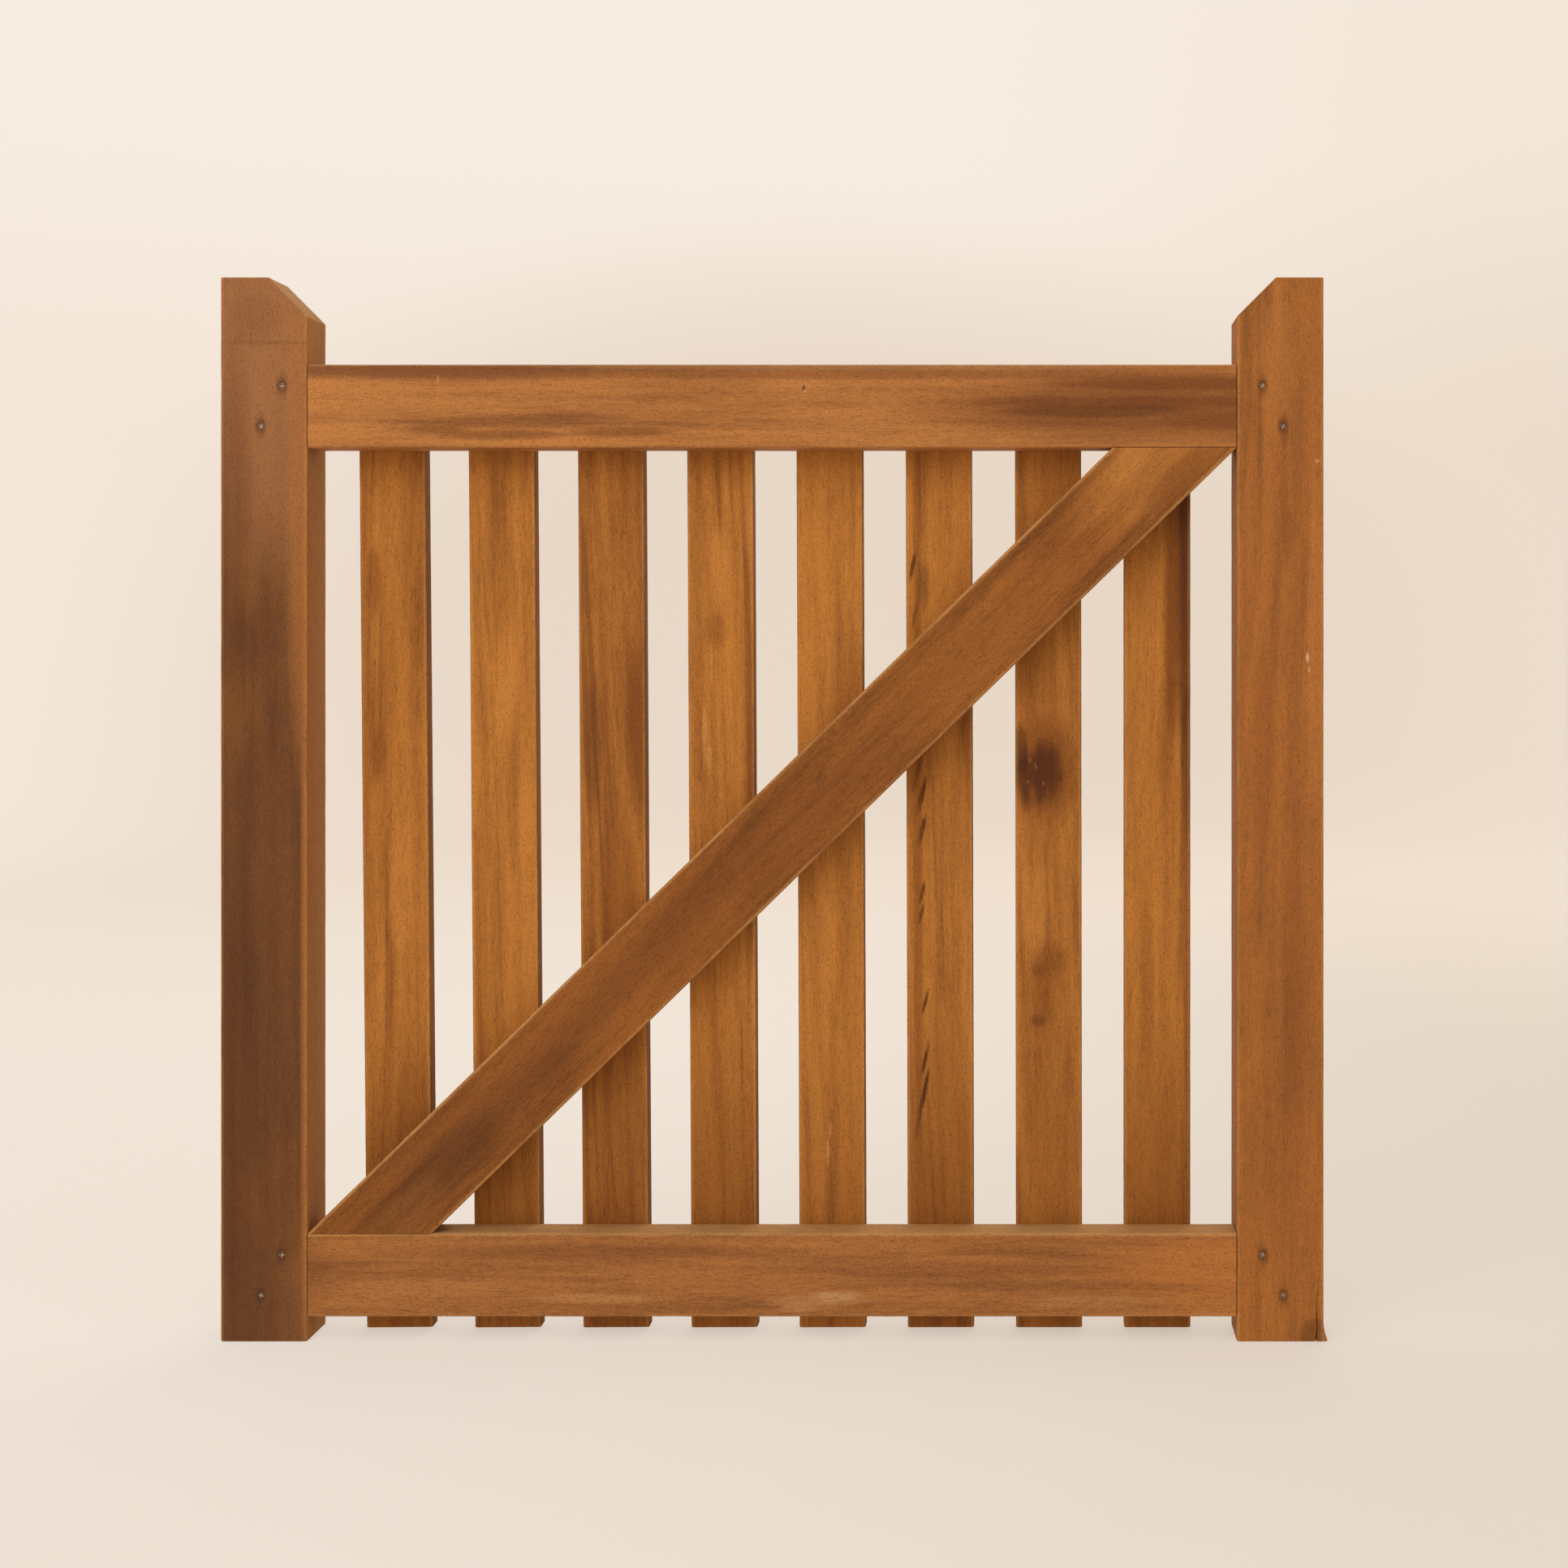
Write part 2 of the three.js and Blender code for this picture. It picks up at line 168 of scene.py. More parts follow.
def rounded_outline(corners, radii, arc_steps=4, spacing=0.006):
    """A closed outline with square corners rounded off.

    At a corner c between unit directions a and b to its neighbours, the arc is
    c + r (a + b) - r (b cos t + a sin t) for t from 0 to a quarter turn. A corner of radius 0 stays one
    point. The straights between are divided evenly.
    """
    corners = np.array(corners, float)
    count = len(corners)
    arcs = []
    for i in range(count):
        corner, radius = corners[i], radii[i]
        a = corners[i - 1] - corner
        b = corners[(i + 1) % count] - corner
        a, b = a / np.linalg.norm(a), b / np.linalg.norm(b)
        t = np.linspace(0, QUARTER_TURN, arc_steps + 1)[:, None] if radius else np.zeros((1, 1))
        arcs.append(corner + radius * (a + b) - radius * (b * np.cos(t) + a * np.sin(t)))
    pieces = []
    for i in range(count):
        start, end = arcs[i][-1], arcs[(i + 1) % count][0]
        parts = max(1, round(np.linalg.norm(end - start) / spacing))
        along = np.linspace(0, 1, parts + 1)[1:-1, None]
        pieces += [arcs[i], start + (end - start) * along]
    return np.concatenate(pieces)


def plain_section(board, radius):
    """The outline of a rectangular board, with its corners rounded."""
    w, d = board.width / 2, board.depth / 2
    return rounded_outline([(-w, -d), (w, -d), (w, d), (-w, d)], [radius] * 4)


def outward(outline):
    """The outward unit normal at each point of a closed anticlockwise outline, from its two neighbours."""
    along = np.roll(outline, -1, 0) - np.roll(outline, 1, 0)
    normal = np.stack([along[:, 1], -along[:, 0]], -1)
    return normal / np.linalg.norm(normal, axis=1, keepdims=True)


def smooth_noise(rng, x, wavelengths):
    """A sum of sines of the given wavelengths with seeded phases, between about -1 and 1."""
    phases = rng.uniform(0, FULL_TURN, len(wavelengths))
    waves = [np.sin(FULL_TURN * x / length + phase) for length, phase in zip(wavelengths, phases)]
    return sum(waves) / len(waves)


def ring_quads(rings):
    """The quads between neighbouring rings, as rows of four point numbers."""
    rows, around = rings.shape[:2]
    row, column = np.meshgrid(np.arange(rows - 1), np.arange(around), indexing="ij")
    here, beside = row * around + column, row * around + (column + 1) % around
    return np.stack([here, beside, beside + around, here + around], -1).reshape(-1, 4)


def mesh_from_rings(name, rings, split=None):
    """A closed body from rings of points, N by M by 3, with a flat cap at each end.

    split gives two points of the last ring between which its cap is creased.
    """
    rows, around = rings.shape[:2]
    last = list(range((rows - 1) * around, rows * around))
    caps = [list(range(around))[::-1]]
    if split is None:
        caps.append(last)
    else:
        i, j = sorted(split)
        caps += [last[i:j + 1], last[j:] + last[:i + 1]]
    mesh = bpy.data.meshes.new(name)
    mesh.from_pydata(rings.reshape(-1, 3).tolist(), [], ring_quads(rings).tolist() + caps)
    tidy_normals(mesh)
    return mesh


def tidy_normals(mesh):
    """Points every face of a closed mesh outwards."""
    work = bmesh.new()
    work.from_mesh(mesh)
    bmesh.ops.recalc_face_normals(work, faces=work.faces)
    work.to_mesh(mesh)
    work.free()


def board_rings(board, outline, settings, seed, bevel=0.0, ends=None):
    """The rings of a planed board: its outline carried along z, with the small unevenness of worked wood.

    Each point moves along its outline's normal by waviness times a sum of long sines, less wear times the
    square of another such sum at the rounded corners. The first and last rings are set in by bevel, so that
    the ends are eased.
    """
    low, high = ends or (-board.length / 2, board.length / 2)
    rows = max(4, round((high - low) / settings.row_spacing))
    z = np.linspace(low + bevel, high - bevel, rows)
    z = np.concatenate([[low], z, [high]])[:, None]
    rng = np.random.default_rng(seed)
    normal = outward(outline)
    place = np.arange(len(outline)) / len(outline)
    turn = FULL_TURN * place[None, :]
    wave = smooth_noise(rng, z, (0.31, 0.17, 0.083)) * np.cos(turn + rng.uniform(0, FULL_TURN))
    twist = smooth_noise(rng, z, (0.23, 0.11, 0.047)) * np.cos(2 * turn + rng.uniform(0, FULL_TURN))
    wave = wave + 0.6 * twist
    bend = np.linalg.norm(np.roll(normal, -1, 0) - np.roll(normal, 1, 0), axis=1)
    corner = np.clip(bend * 2, 0, 1)[None, :]
    rub = smooth_noise(rng, z + 0.7 * place[None, :], (0.19, 0.071, 0.029)) ** 2
    move = settings.waviness * wave - settings.wear * rub * corner
    inset = np.zeros_like(z)
    inset[0], inset[-1] = bevel, bevel
    flat = outline[None] + normal[None] * (move - inset)[..., None]
    return np.concatenate([flat, np.broadcast_to(z[..., None], flat.shape[:2] + (1,))], -1)


def block_mesh(name, board, low, high):
    """A plain block in a board's own frame, used as a cutter or a tenon: a rectangle carried along z."""
    outline = np.array([(low[0], low[1]), (high[0], low[1]), (high[0], high[1]), (low[0], high[1])])
    rings = np.stack([np.column_stack([outline, np.full(4, z)]) for z in (low[2], high[2])])
    return mesh_from_rings(name, board.to_world(rings))


def turned_mesh(name, radii, heights, axis, sides, squash=1.0):
    """A round body lying along Y: at each height along Y, a circle of the given radius about its axis.

    squash stretches the circles along Z.
    """
    angle = np.arange(sides) * FULL_TURN / sides
    circle = np.stack([np.cos(angle), np.zeros(sides), np.sin(angle) * squash], -1)
    rings = np.array(radii)[:, None, None] * circle[None]
    rings[..., 1] = np.array(heights)[:, None]
    return mesh_from_rings(name, rings + axis)


# ---- pieces


def new_object(mesh):
    """An object for a mesh, at the origin."""
    piece = bpy.data.objects.new(mesh.name, mesh)
    bpy.context.scene.collection.objects.link(piece)
    return piece


def combine(piece, cutters, operation):
    """Cuts a piece with each cutter in turn, or joins them to it, and keeps the result as its mesh."""
    tools = [new_object(mesh) for mesh in cutters]
    for tool in tools:
        step = piece.modifiers.new("fit", "BOOLEAN")
        step.operation, step.solver, step.object = operation, "MANIFOLD", tool
    bpy.context.view_layer.update()
    evaluated = piece.evaluated_get(bpy.context.evaluated_depsgraph_get())
    result = bpy.data.meshes.new_from_object(evaluated)
    piece.modifiers.clear()
    old, name = piece.data, piece.data.name
    piece.data = result
    bpy.data.meshes.remove(old)
    result.name = name
    for tool in tools:
        mesh = tool.data
        bpy.data.objects.remove(tool)
        bpy.data.meshes.remove(mesh)
    if not result.polygons:
        raise RuntimeError(f"{name} came out empty")


def finish_piece(piece, material, slot, *nodes):
    """Gives a piece its finish, its shading and its place in the frame."""
    mesh = piece.data
    mesh.materials.clear()
    mesh.materials.append(material)
    mesh.polygons.foreach_set("material_index", np.zeros(len(mesh.polygons), np.int32))
    mesh.shade_smooth()
    mesh.set_sharp_from_angle(angle=SHARP_ANGLE)
    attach(piece, BODY)
    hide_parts(*nodes)


# ---- shader maths


class Value:
    """A number inside a shader, so that Python's own operators add Math nodes."""

    def __init__(self, shader, socket):
        self.shader, self.socket = shader, socket

    def _math(self, operation, *others):
        return self.shader.math(operation, self, *others)

    def __add__(self, other):
        return self._math("ADD", other)

    def __sub__(self, other):
        return self._math("SUBTRACT", other)

    def __mul__(self, other):
        return self._math("MULTIPLY", other)

    def __truediv__(self, other):
        return self._math("DIVIDE", other)

    def __abs__(self):
        return self._math("ABSOLUTE")

    def greatest(self, other):
        return self._math("MAXIMUM", other)

    def least(self, other):
        return self._math("MINIMUM", other)

    def root(self):
        return self._math("SQRT")

    def between(self, low, high):
        """0 below low and 1 above high, with a smooth rise between."""
        return self.shader.ramped(self, low, high)


class Shader:
    """A material's node tree and the few kinds of node that it is made from."""

    def __init__(self, name):
        self.material = bpy.data.materials.new(name)
        self.material.use_nodes = True
        self.tree = self.material.node_tree
        self.tree.nodes.clear()

    def node(self, kind, settings=None, inputs=None):
        """Adds a node, gives it its settings, then its sockets' values or links."""
        made = self.tree.nodes.new("ShaderNode" + kind)
        for key, value in (settings or {}).items():
            setattr(made, key, value)
        for key, value in (inputs or {}).items():
            self.feed(made.inputs[key], value)
        return made

    def feed(self, socket, value):
        """Links a socket to a value of this shader, or sets it to a plain one."""
        if isinstance(value, Value):
            self.tree.links.new(value.socket, socket)
        elif isinstance(value, bpy.types.NodeSocket):
            self.tree.links.new(value, socket)
        elif socket.type == "RGBA" and len(value) == 3:
            socket.default_value = (*value, 1.0)
        else:
            socket.default_value = value

    def math(self, operation, *values):
        made = self.node("Math", {"operation": operation}, dict(enumerate(values)))
        return Value(self, made.outputs[0])

    def ramped(self, value, low, high):
        made = self.node("MapRange", {"interpolation_type": "SMOOTHSTEP"},
                         {"Value": value, "From Min": low, "From Max": high})
        return Value(self, made.outputs["Result"])

    def mix(self, factor, first, second):
        """A colour between two, by a factor from 0 to 1. Sockets 6 and 7 and output 2 are the colours."""
        made = self.node("Mix", {"data_type": "RGBA"}, {"Factor": factor, 6: first, 7: second})
        return made.outputs[2]

    def stretched(self, point, scale):
        """A point scaled differently along each axis."""
        made = self.node("VectorMath", {"operation": "MULTIPLY"}, {0: point, 1: scale})
        return made.outputs[0]

    def noise(self, point, scale, detail=2.0, roughness=0.5):
        """Noise from 0 to 1, with its own scale along each axis of the point."""
        made = self.node("TexNoise", {"noise_dimensions": "3D"}, {
            "Vector": self.stretched(point, scale), "Scale": 1.0, "Detail": detail, "Roughness": roughness})
        return Value(self, made.outputs["Fac"])

    def parts(self, vector):
        made = self.node("SeparateXYZ", None, {0: vector})
        return [Value(self, output) for output in made.outputs]

    def vector(self, x, y, z):
        return self.node("CombineXYZ", None, {0: x, 1: y, 2: z}).outputs[0]

    def surface(self, colour, roughness, metallic=0.0, bump=None, bump_depth=0.0, **others):
        """Ends the shader in a Principled surface, with an optional bump of the given depth in metres."""
        inputs = {"Base Color": colour, "Roughness": roughness, "Metallic": metallic}
        if bump is not None:
            inputs["Normal"] = self.node("Bump", None, {
                "Height": bump, "Distance": bump_depth, "Strength": 1.0}).outputs[0]
        made = self.node("BsdfPrincipled", None, inputs)
        for key, value in others.items():
            self.feed(made.inputs[key.replace("_", " ")], value)
        self.node("OutputMaterial", None, {"Surface": made.outputs[0]})
        return self.material


def linear(hex_colour):
    """A screen colour such as 'a56a3c' as linear red, green and blue."""
    screen = np.array([int(hex_colour[i:i + 2], 16) for i in (0, 2, 4)]) / 255
    return tuple(np.where(screen <= 0.04045, screen / 12.92, ((screen + 0.055) / 1.055) ** 2.4))


# ---- finishes


# The colour of the worn arrises stands partly for rubbed wood and partly for a painted highlight.
# The dust colour on up-facing faces stands partly for dust and partly for painted light from above.
SOOT, UMBER, GOLD, DUST_AND_TOP_LIGHT, SCUFF_AND_HIGHLIGHT = "3a2417", "6d4022", "c07c35", "b58a57", "cf9a5e"
FINE_WIDTH = 0.004
WANDER = 0.014
ARRIS_BAND = (0.0034, 0.0010)
WOOD_BUMP, METAL_BUMP = 0.0003, 0.00008


class Mark:
    """A stain, knot or scuff on a board's face.

    along and across run from -1 to 1 over the board, and half_length and half_width are in metres. ragged
    says how far its rim is broken up. A stain soaks through to the back unless it is skin deep, as bruises
    and narrow marks are. lean slants it off the board's line.
    """

    def __init__(self, along, across, half_length, half_width, colour, strength, ragged,
                 skin_deep=False, lean=0.0):
        self.along, self.across = along, across
        self.half_length, self.half_width = half_length, half_width
        self.colour, self.strength, self.ragged = linear(colour), strength, ragged
        self.fine = half_width < FINE_WIDTH
        self.skin_deep, self.lean = skin_deep or self.fine, lean


def marks_from(*rows):
    """Marks from rows of along, across, half length, half width, colour, strength and raggedness."""
    return [Mark(*row) for row in rows]


class Grain:
    """How a board's grain runs and how strong it is.

    heart is where the centre of its rings lies, drift how the grain slants, ring how far its lines stand
    apart and figure how strong they are. bias makes the board darker, and arris says how bright its edges are
    made, partly as rubbed wear and partly as a painted highlight where they catch the light.
    """

    def __init__(self, seed, heart, ring, figure, contrast, drift=0.02, bias=0.0, arris=0.3):
        self.seed, self.heart, self.drift, self.ring = seed, heart, drift, ring
        self.figure, self.contrast, self.bias, self.arris = figure, contrast, bias, arris


def wood_finish(name, board, light, dark, grain, marks, roughness, side_shading=None):
    """Oiled hardwood: growth lines about a heart line, fibres, pores, soft tone and the board's own marks.

    The lines are noise of r / ring, where r is the distance from a heart line that drifts across the board,
    after the point has been moved sideways by slow noise. Fibres and pores are noise drawn out along the
    board. A colour given for the board's side towards +X is painted on that side: painted shade on the pales,
    painted light on the hinge stile.
    """
    shader = Shader(name)
    coordinates = shader.node("TexCoord")
    own = shader.node("Mapping", {"vector_type": "TEXTURE"}, {
        "Vector": coordinates.outputs["Object"],
        "Location": tuple(board.centre), "Rotation": (0.0, board.tilt, 0.0)}).outputs[0]
    x, y, z = shader.parts(own)
    seed = grain.seed
    shifted = shader.node("VectorMath", {"operation": "ADD"}, {
        0: own, 1: (seed * 1.37, seed * 0.71, seed * 2.11)}).outputs[0]

    slow = shader.noise(shifted, (9.0, 9.0, 2.4), detail=1.5)
    sway = shader.noise(shifted, (30.0, 30.0, 7.0), detail=2.0)
    drawn = x + (slow - 0.5) * WANDER + (sway - 0.5) * (WANDER * 0.3)
    across = drawn - grain.heart[0] - z * grain.drift
    through = y - grain.heart[1]
    reach = (across * across + through * through).root()
    lines = shader.noise(shader.vector(reach / grain.ring, seed, z * 3.5 + seed), (1.0, 1.0, 1.0),
                         detail=2.5, roughness=0.6)
    dark_lines = lines.between(0.52, 0.74)

    grainwise = shader.vector(drawn + seed, y, z - x * (grain.drift * 4) + seed)
    fibre = shader.noise(grainwise, (850.0, 850.0, 95.0), detail=3.5, roughness=0.7)
    streak = shader.noise(grainwise, (110.0, 110.0, 4.5), detail=3.0, roughness=0.6)
    tone = shader.noise(shifted, (19.0, 19.0, 5.0), detail=2.5, roughness=0.55)
    patch = shader.noise(shifted, (48.0, 48.0, 21.0), detail=3.5, roughness=0.62)
    glow = shader.noise(shifted, (14.0, 14.0, 6.5), detail=2.0).between(0.48, 0.72)
    pores = shader.noise(grainwise, (1600.0, 1600.0, 380.0), detail=1.0).between(0.56, 0.74)

    depth = ((lines - 0.5) * (grain.figure * 1.15) + dark_lines * (grain.figure * 0.32)
             + (fibre - 0.5) * 0.95 + (streak - 0.5) * 1.15 + (tone - 0.5) * 0.95 + (patch - 0.5) * 0.5)
    depth = (depth * grain.contrast + (0.34 + grain.bias)).greatest(0.0).least(1.0)
    colour = shader.mix(depth, light, dark)
    colour = shader.mix(glow * 0.14, colour, linear(GOLD))

    # Marks are ellipses whose rims are broken up by noise: coarse for stains and fine for small marks.
    coarse = (streak - 0.5) * 3.2 + (patch - 0.5) * 2.2
    fine = (shader.noise(grainwise, (700.0, 700.0, 120.0), detail=2.0) - 0.5) * 4.0
    for mark in marks:
        end = (z - mark.along * board.length / 2) / mark.half_length
        side = (x - mark.across * board.width / 2) / mark.half_width
        if mark.lean:
            side = side - end * (mark.lean * mark.half_length / mark.half_width)
        broken = fine if mark.fine else coarse
        mask = (side * side + end * end + broken * mark.ragged).between(1.35, 0.0)
        if mark.skin_deep:
            mask = mask * y.between(0.0, board.depth * -0.3)
        colour = shader.mix(mask * mark.strength, colour, mark.colour)

    # Worn arrises with a painted highlight: bright where both the side and the face are near, partly rubbed
    # wear and partly a painted highlight where the edges catch the light.
    to_side = (abs(x) * -1.0) + board.width / 2
    to_face = (abs(y) * -1.0) + board.depth / 2
    edge = to_side.greatest(to_face).between(*ARRIS_BAND)
    rubbed = edge * (shader.noise(shifted, (36.0, 36.0, 20.0), detail=3.0).between(0.3, 0.6) * 0.6 + 0.4)
    colour = shader.mix(rubbed * grain.arris, colour, linear(SCUFF_AND_HIGHLIGHT))

    # Cut ends drink more oil and are darker. Faces that look up are made lighter, partly by the dust they
    # hold and partly as painted light from above.
    nx, _, nz = shader.parts(coordinates.outputs["Normal"])
    # Painted light and shade on the side towards +X: darker on the pales, lighter on the hinge stile.
    if side_shading:
        sideways = (nx * math.cos(board.tilt) - nz * math.sin(board.tilt)).between(0.6, 0.9)
        colour = shader.mix(sideways * (tone * 0.9 + 0.32), colour, linear(side_shading))
    end_on = abs(nx * math.sin(board.tilt) + nz * math.cos(board.tilt)).between(0.75, 0.95)
    speckle = shader.noise(shifted, (900.0, 900.0, 60.0), detail=2.0)
    colour = shader.mix(end_on * (speckle * 0.5 + 0.2), colour, linear(UMBER))
    dust_and_top_light = nz.between(0.45, 0.85) * (patch * 0.7 + 0.35)
    colour = shader.mix(dust_and_top_light, colour, linear(DUST_AND_TOP_LIGHT))

    # The open grain shows through every stain.
    tooth = fibre.between(0.48, 0.74) * 0.24 + streak.between(0.5, 0.75) * 0.10
    colour = shader.mix(tooth.greatest(pores * 0.38), colour, linear(SOOT))

    matt = (fibre - 0.5) * 0.25 + (tone - 0.5) * 0.2 + roughness + dust_and_top_light * 0.2 + end_on * 0.15
    height = fibre * 0.6 + lines * 0.25 - pores * 0.7 + streak * 0.3
    return shader.surface(colour, matt, bump=height, bump_depth=WOOD_BUMP, Specular_IOR_Level=0.04)


def metal_finish(name, colour, roughness, tarnish):
    """Dull metal: a base colour broken by blotches of tarnish, with fine scratches in its roughness."""
    shader = Shader(name)
    point = shader.node("TexCoord").outputs["Object"]
    blotch = shader.noise(point, (420.0, 420.0, 420.0), detail=4.0, roughness=0.6)
    scratch = shader.noise(point, (3000.0, 400.0, 3000.0), detail=2.0)
    shade = shader.mix(blotch.between(0.42, 0.7) * 0.7, colour, linear(tarnish))
    matt = (scratch - 0.5) * 0.3 + blotch * 0.2 + (roughness - 0.1)
    return shader.surface(shade, matt, metallic=0.85, bump=scratch + blotch, bump_depth=METAL_BUMP)


# ---- settings


def length_property(name, description, default):
    return FloatProperty(name=name, description=description, default=default, min=0.0, unit="LENGTH",
                         precision=5)


def colour_property(name, description, default):
    return FloatVectorProperty(name=name, description=description, default=linear(default), size=3,
                               subtype="COLOR", min=0.0, max=1.0)


class GateTimberSettings(bpy.types.PropertyGroup):
    """Sizes of the boards."""

    arris: length_property("Arris", "Radius along the edges of the stiles, rails and brace", 0.0022)
    pale_arris: length_property("Pale arris", "Radius along the edges of the pales", 0.0016)
    end_easing: length_property("End easing", "Bevel round the cut ends", 0.0006)
    waviness: length_property("Waviness", "How far a planed face wanders", 0.00005)
    wear: length_property("Wear", "How deep the arrises are rubbed", 0.00018)
    row_spacing: length_property("Row spacing", "Distance between rows of faces along a board", 0.005)
    horn_bevel: length_property("Horn bevel", "Each leg of the sloping cut on a stile's head", 0.032)
    brace_width: length_property("Brace width", "Width of the diagonal", 0.071)
    pale_width: length_property("Pale width", "Width of each upright board", 0.055)
    tenon_thickness: length_property("Tenon thickness", "Thickness of the rails' tenons", 0.015)
    tenon_edge: length_property("Tenon edge", "How much narrower a tenon is than its rail, each side", 0.005)
    pale_head_clearance: length_property("Pale head gap", "From a pale's head to the rebate's end", 0.001)
    gap: length_property("Gap", "Clearance between boards that meet", 0.0003)


class GateFinishSettings(bpy.types.PropertyGroup):
    """Colours of the finishes."""

    hinge_light: colour_property("Hinge stile, light", "Early wood of the hinge stile", "724a2b")
    hinge_dark: colour_property("Hinge stile, dark", "Late wood of the hinge stile", "5c3925")
    latch_light: colour_property("Latch stile, light", "Early wood of the latch stile", "a96933")
    latch_dark: colour_property("Latch stile, dark", "Late wood of the latch stile", "82522c")
    rail_light: colour_property("Rails, light", "Early wood of the rails", "ba7b43")
    rail_dark: colour_property("Rails, dark", "Late wood of the rails", "895731")
    brace_light: colour_property("Brace, light", "Early wood of the brace", "975c2b")
    brace_dark: colour_property("Brace, dark", "Late wood of the brace", "6c4121")
    pale_light: colour_property("Pales, light", "Early wood of the pales", "ba7937")
    pale_dark: colour_property("Pales, dark", "Late wood of the pales", "8c5528")
    dowel: colour_property("Dowels", "Aluminium of the star dowels", "b3a48e")
    nail: colour_property("Nails", "Steel of the nails", "a5a19a")
    roughness: FloatProperty(name="Roughness", description="Roughness of the oiled wood", default=0.6,
                             min=0.0, max=1.0, subtype="FACTOR")


class GateFastenerSettings(bpy.types.PropertyGroup):
    """Sizes of the dowels and nails."""

    dowel_radius: length_property("Dowel radius", "Radius at the tip of a dowel's arms", 0.0029)
    dowel_root: length_property("Dowel root", "Radius at the bottom of a dowel's flutes", 0.0009)
    dowel_sides: IntProperty(name="Dowel sides", description="Points round a star dowel", default=96, min=12)
    dowel_arms: IntProperty(name="Dowel arms", description="Arms of a star dowel", default=4, min=3)
    bruise: length_property("Bruise", "Radius of the dished mouth of a dowel's bore", 0.0046)
    clearance: length_property("Clearance", "Between a fastener and its bore", 0.0003)
    nail_shank: length_property("Nail shank", "Radius of a nail's shank", 0.0013)
    nail_sides: IntProperty(name="Nail sides", description="Faces round a nail", default=20, min=6)
    head_height: length_property("Head height", "Height of a nail's head", 0.0016)
    point_height: length_property("Point height", "Height of a nail's point", 0.003)


class GateStageSettings(bpy.types.PropertyGroup):
    """Floor, light and camera."""

    backdrop: colour_property("Backdrop", "Colour of the floor and the wall", "f5ece2")
    radius: length_property("Radius", "Radius of the floor and its wall", 6.0)
    wall_height: length_property("Wall height", "Height of the wall round the floor", 5.0)
    distance: length_property("Camera distance", "From the camera to the front of the gate", 1.65)
    camera_side: length_property("Camera to the side", "How far the camera stands right of the middle", 0.205)
    camera_height: length_property("Camera height", "Height of the camera", 0.567)
    lens: FloatProperty(name="Lens", description="Focal length on a 36 mm sensor", default=46.457,
                        unit="CAMERA")
    shift_x: FloatProperty(name="Shift X", description="Sideways lens shift", default=-0.1527)
    shift_y: FloatProperty(name="Shift Y", description="Vertical lens shift", default=-0.0878)
    key_power: FloatProperty(name="Key light", description="Power of the main soft light", default=60.0,
                             unit="POWER")
    fill_power: FloatProperty(name="Back light", description="Power of the light behind", default=35.0,
                              unit="POWER")
    sky: FloatProperty(name="Sky", description="Strength of the even light from above", default=0.95, min=0.0)


# ---- stiles


DISH_SIDES = 28
FOOT_FLARE, FLARE_HEIGHT = 0.0035, 0.016
CRACK_INSET, CRACK_HEIGHT, CRACK_WIDTH = 0.0065, 0.058, 0.0011

HINGE_MARKS = marks_from(
    (1.0, -0.1, 0.25, 0.11, "a87249", 0.76, 0.12),
    (0.6, 0.9, 0.24, 0.014, "a86c3a", 0.55, 0.25),
    # The long narrow light line along the inner arris is a painted highlight.
    (-0.1, 0.955, 0.62, 0.0042, "a5673a", 0.65, 0.12),
    (0.62, -0.7, 0.13, 0.016, "6a4026", 0.4, 0.45),
    (0.925, -0.2, 0.024, 0.022, UMBER, 0.22, 0.25),
    (0.877, 0.0, 0.0022, 0.04, "7a5130", 0.35, 0.1),
    (-0.55, -0.55, 0.22, 0.014, "55321f", 0.3, 0.3),
    (-0.95, 0.7, 0.05, 0.016, "8a5a38", 0.4, 0.6),
)
LATCH_MARKS = marks_from(
    (0.285, 0.62, 0.0045, 0.0013, "dcc09a", 0.9, 0.35),
    (0.262, 0.66, 0.0025, 0.001, "d2b088", 0.8, 0.3),
    (0.655, 0.86, 0.0018, 0.0024, "cfa983", 0.5, 0.4),
    (-0.99, 0.75, 0.016, 0.011, SOOT, 0.45, 0.8),
    (0.3, 0.85, 0.13, 0.012, "bd7a40", 0.4, 0.5),
    (0.85, -0.1, 0.06, 0.02, "b8783f", 0.35, 0.5),
    (0.52, 0.2, 0.025, 0.006, UMBER, 0.3, 0.8),
    (0.1, -0.4, 0.09, 0.01, "8a4f28", 0.4, 0.7),
    (-0.35, 0.3, 0.13, 0.01, "8a4f28", 0.35, 0.7),
)


def stile_horn(rings, board, inner, bevel):
    """Slopes the head of a stile: points sink by how far they lie past the bevel's start, less lower down."""
    past = np.clip(inner * rings[..., 0] - (board.width / 2 - bevel), 0, None)
    head = board.length / 2
    start = head - 2 * bevel
    fade = np.clip((rings[..., 2] - start) / (head - start), 0, 1)
    rings[..., 2] -= past * fade
    return rings


def split_foot(rings, board, outer):
    """Spreads the outer corner of a stile's foot, where it has split: x grows by flare (1 - z / height)^2."""
    above = (rings[..., 2] + board.length / 2) / FLARE_HEIGHT
    near = np.clip(outer * rings[..., 0] / (board.width / 2) - 0.5, 0, 0.5) * 2
    rings[..., 0] += outer * FOOT_FLARE * near * np.clip(1 - above, 0, 1) ** 2
    return rings


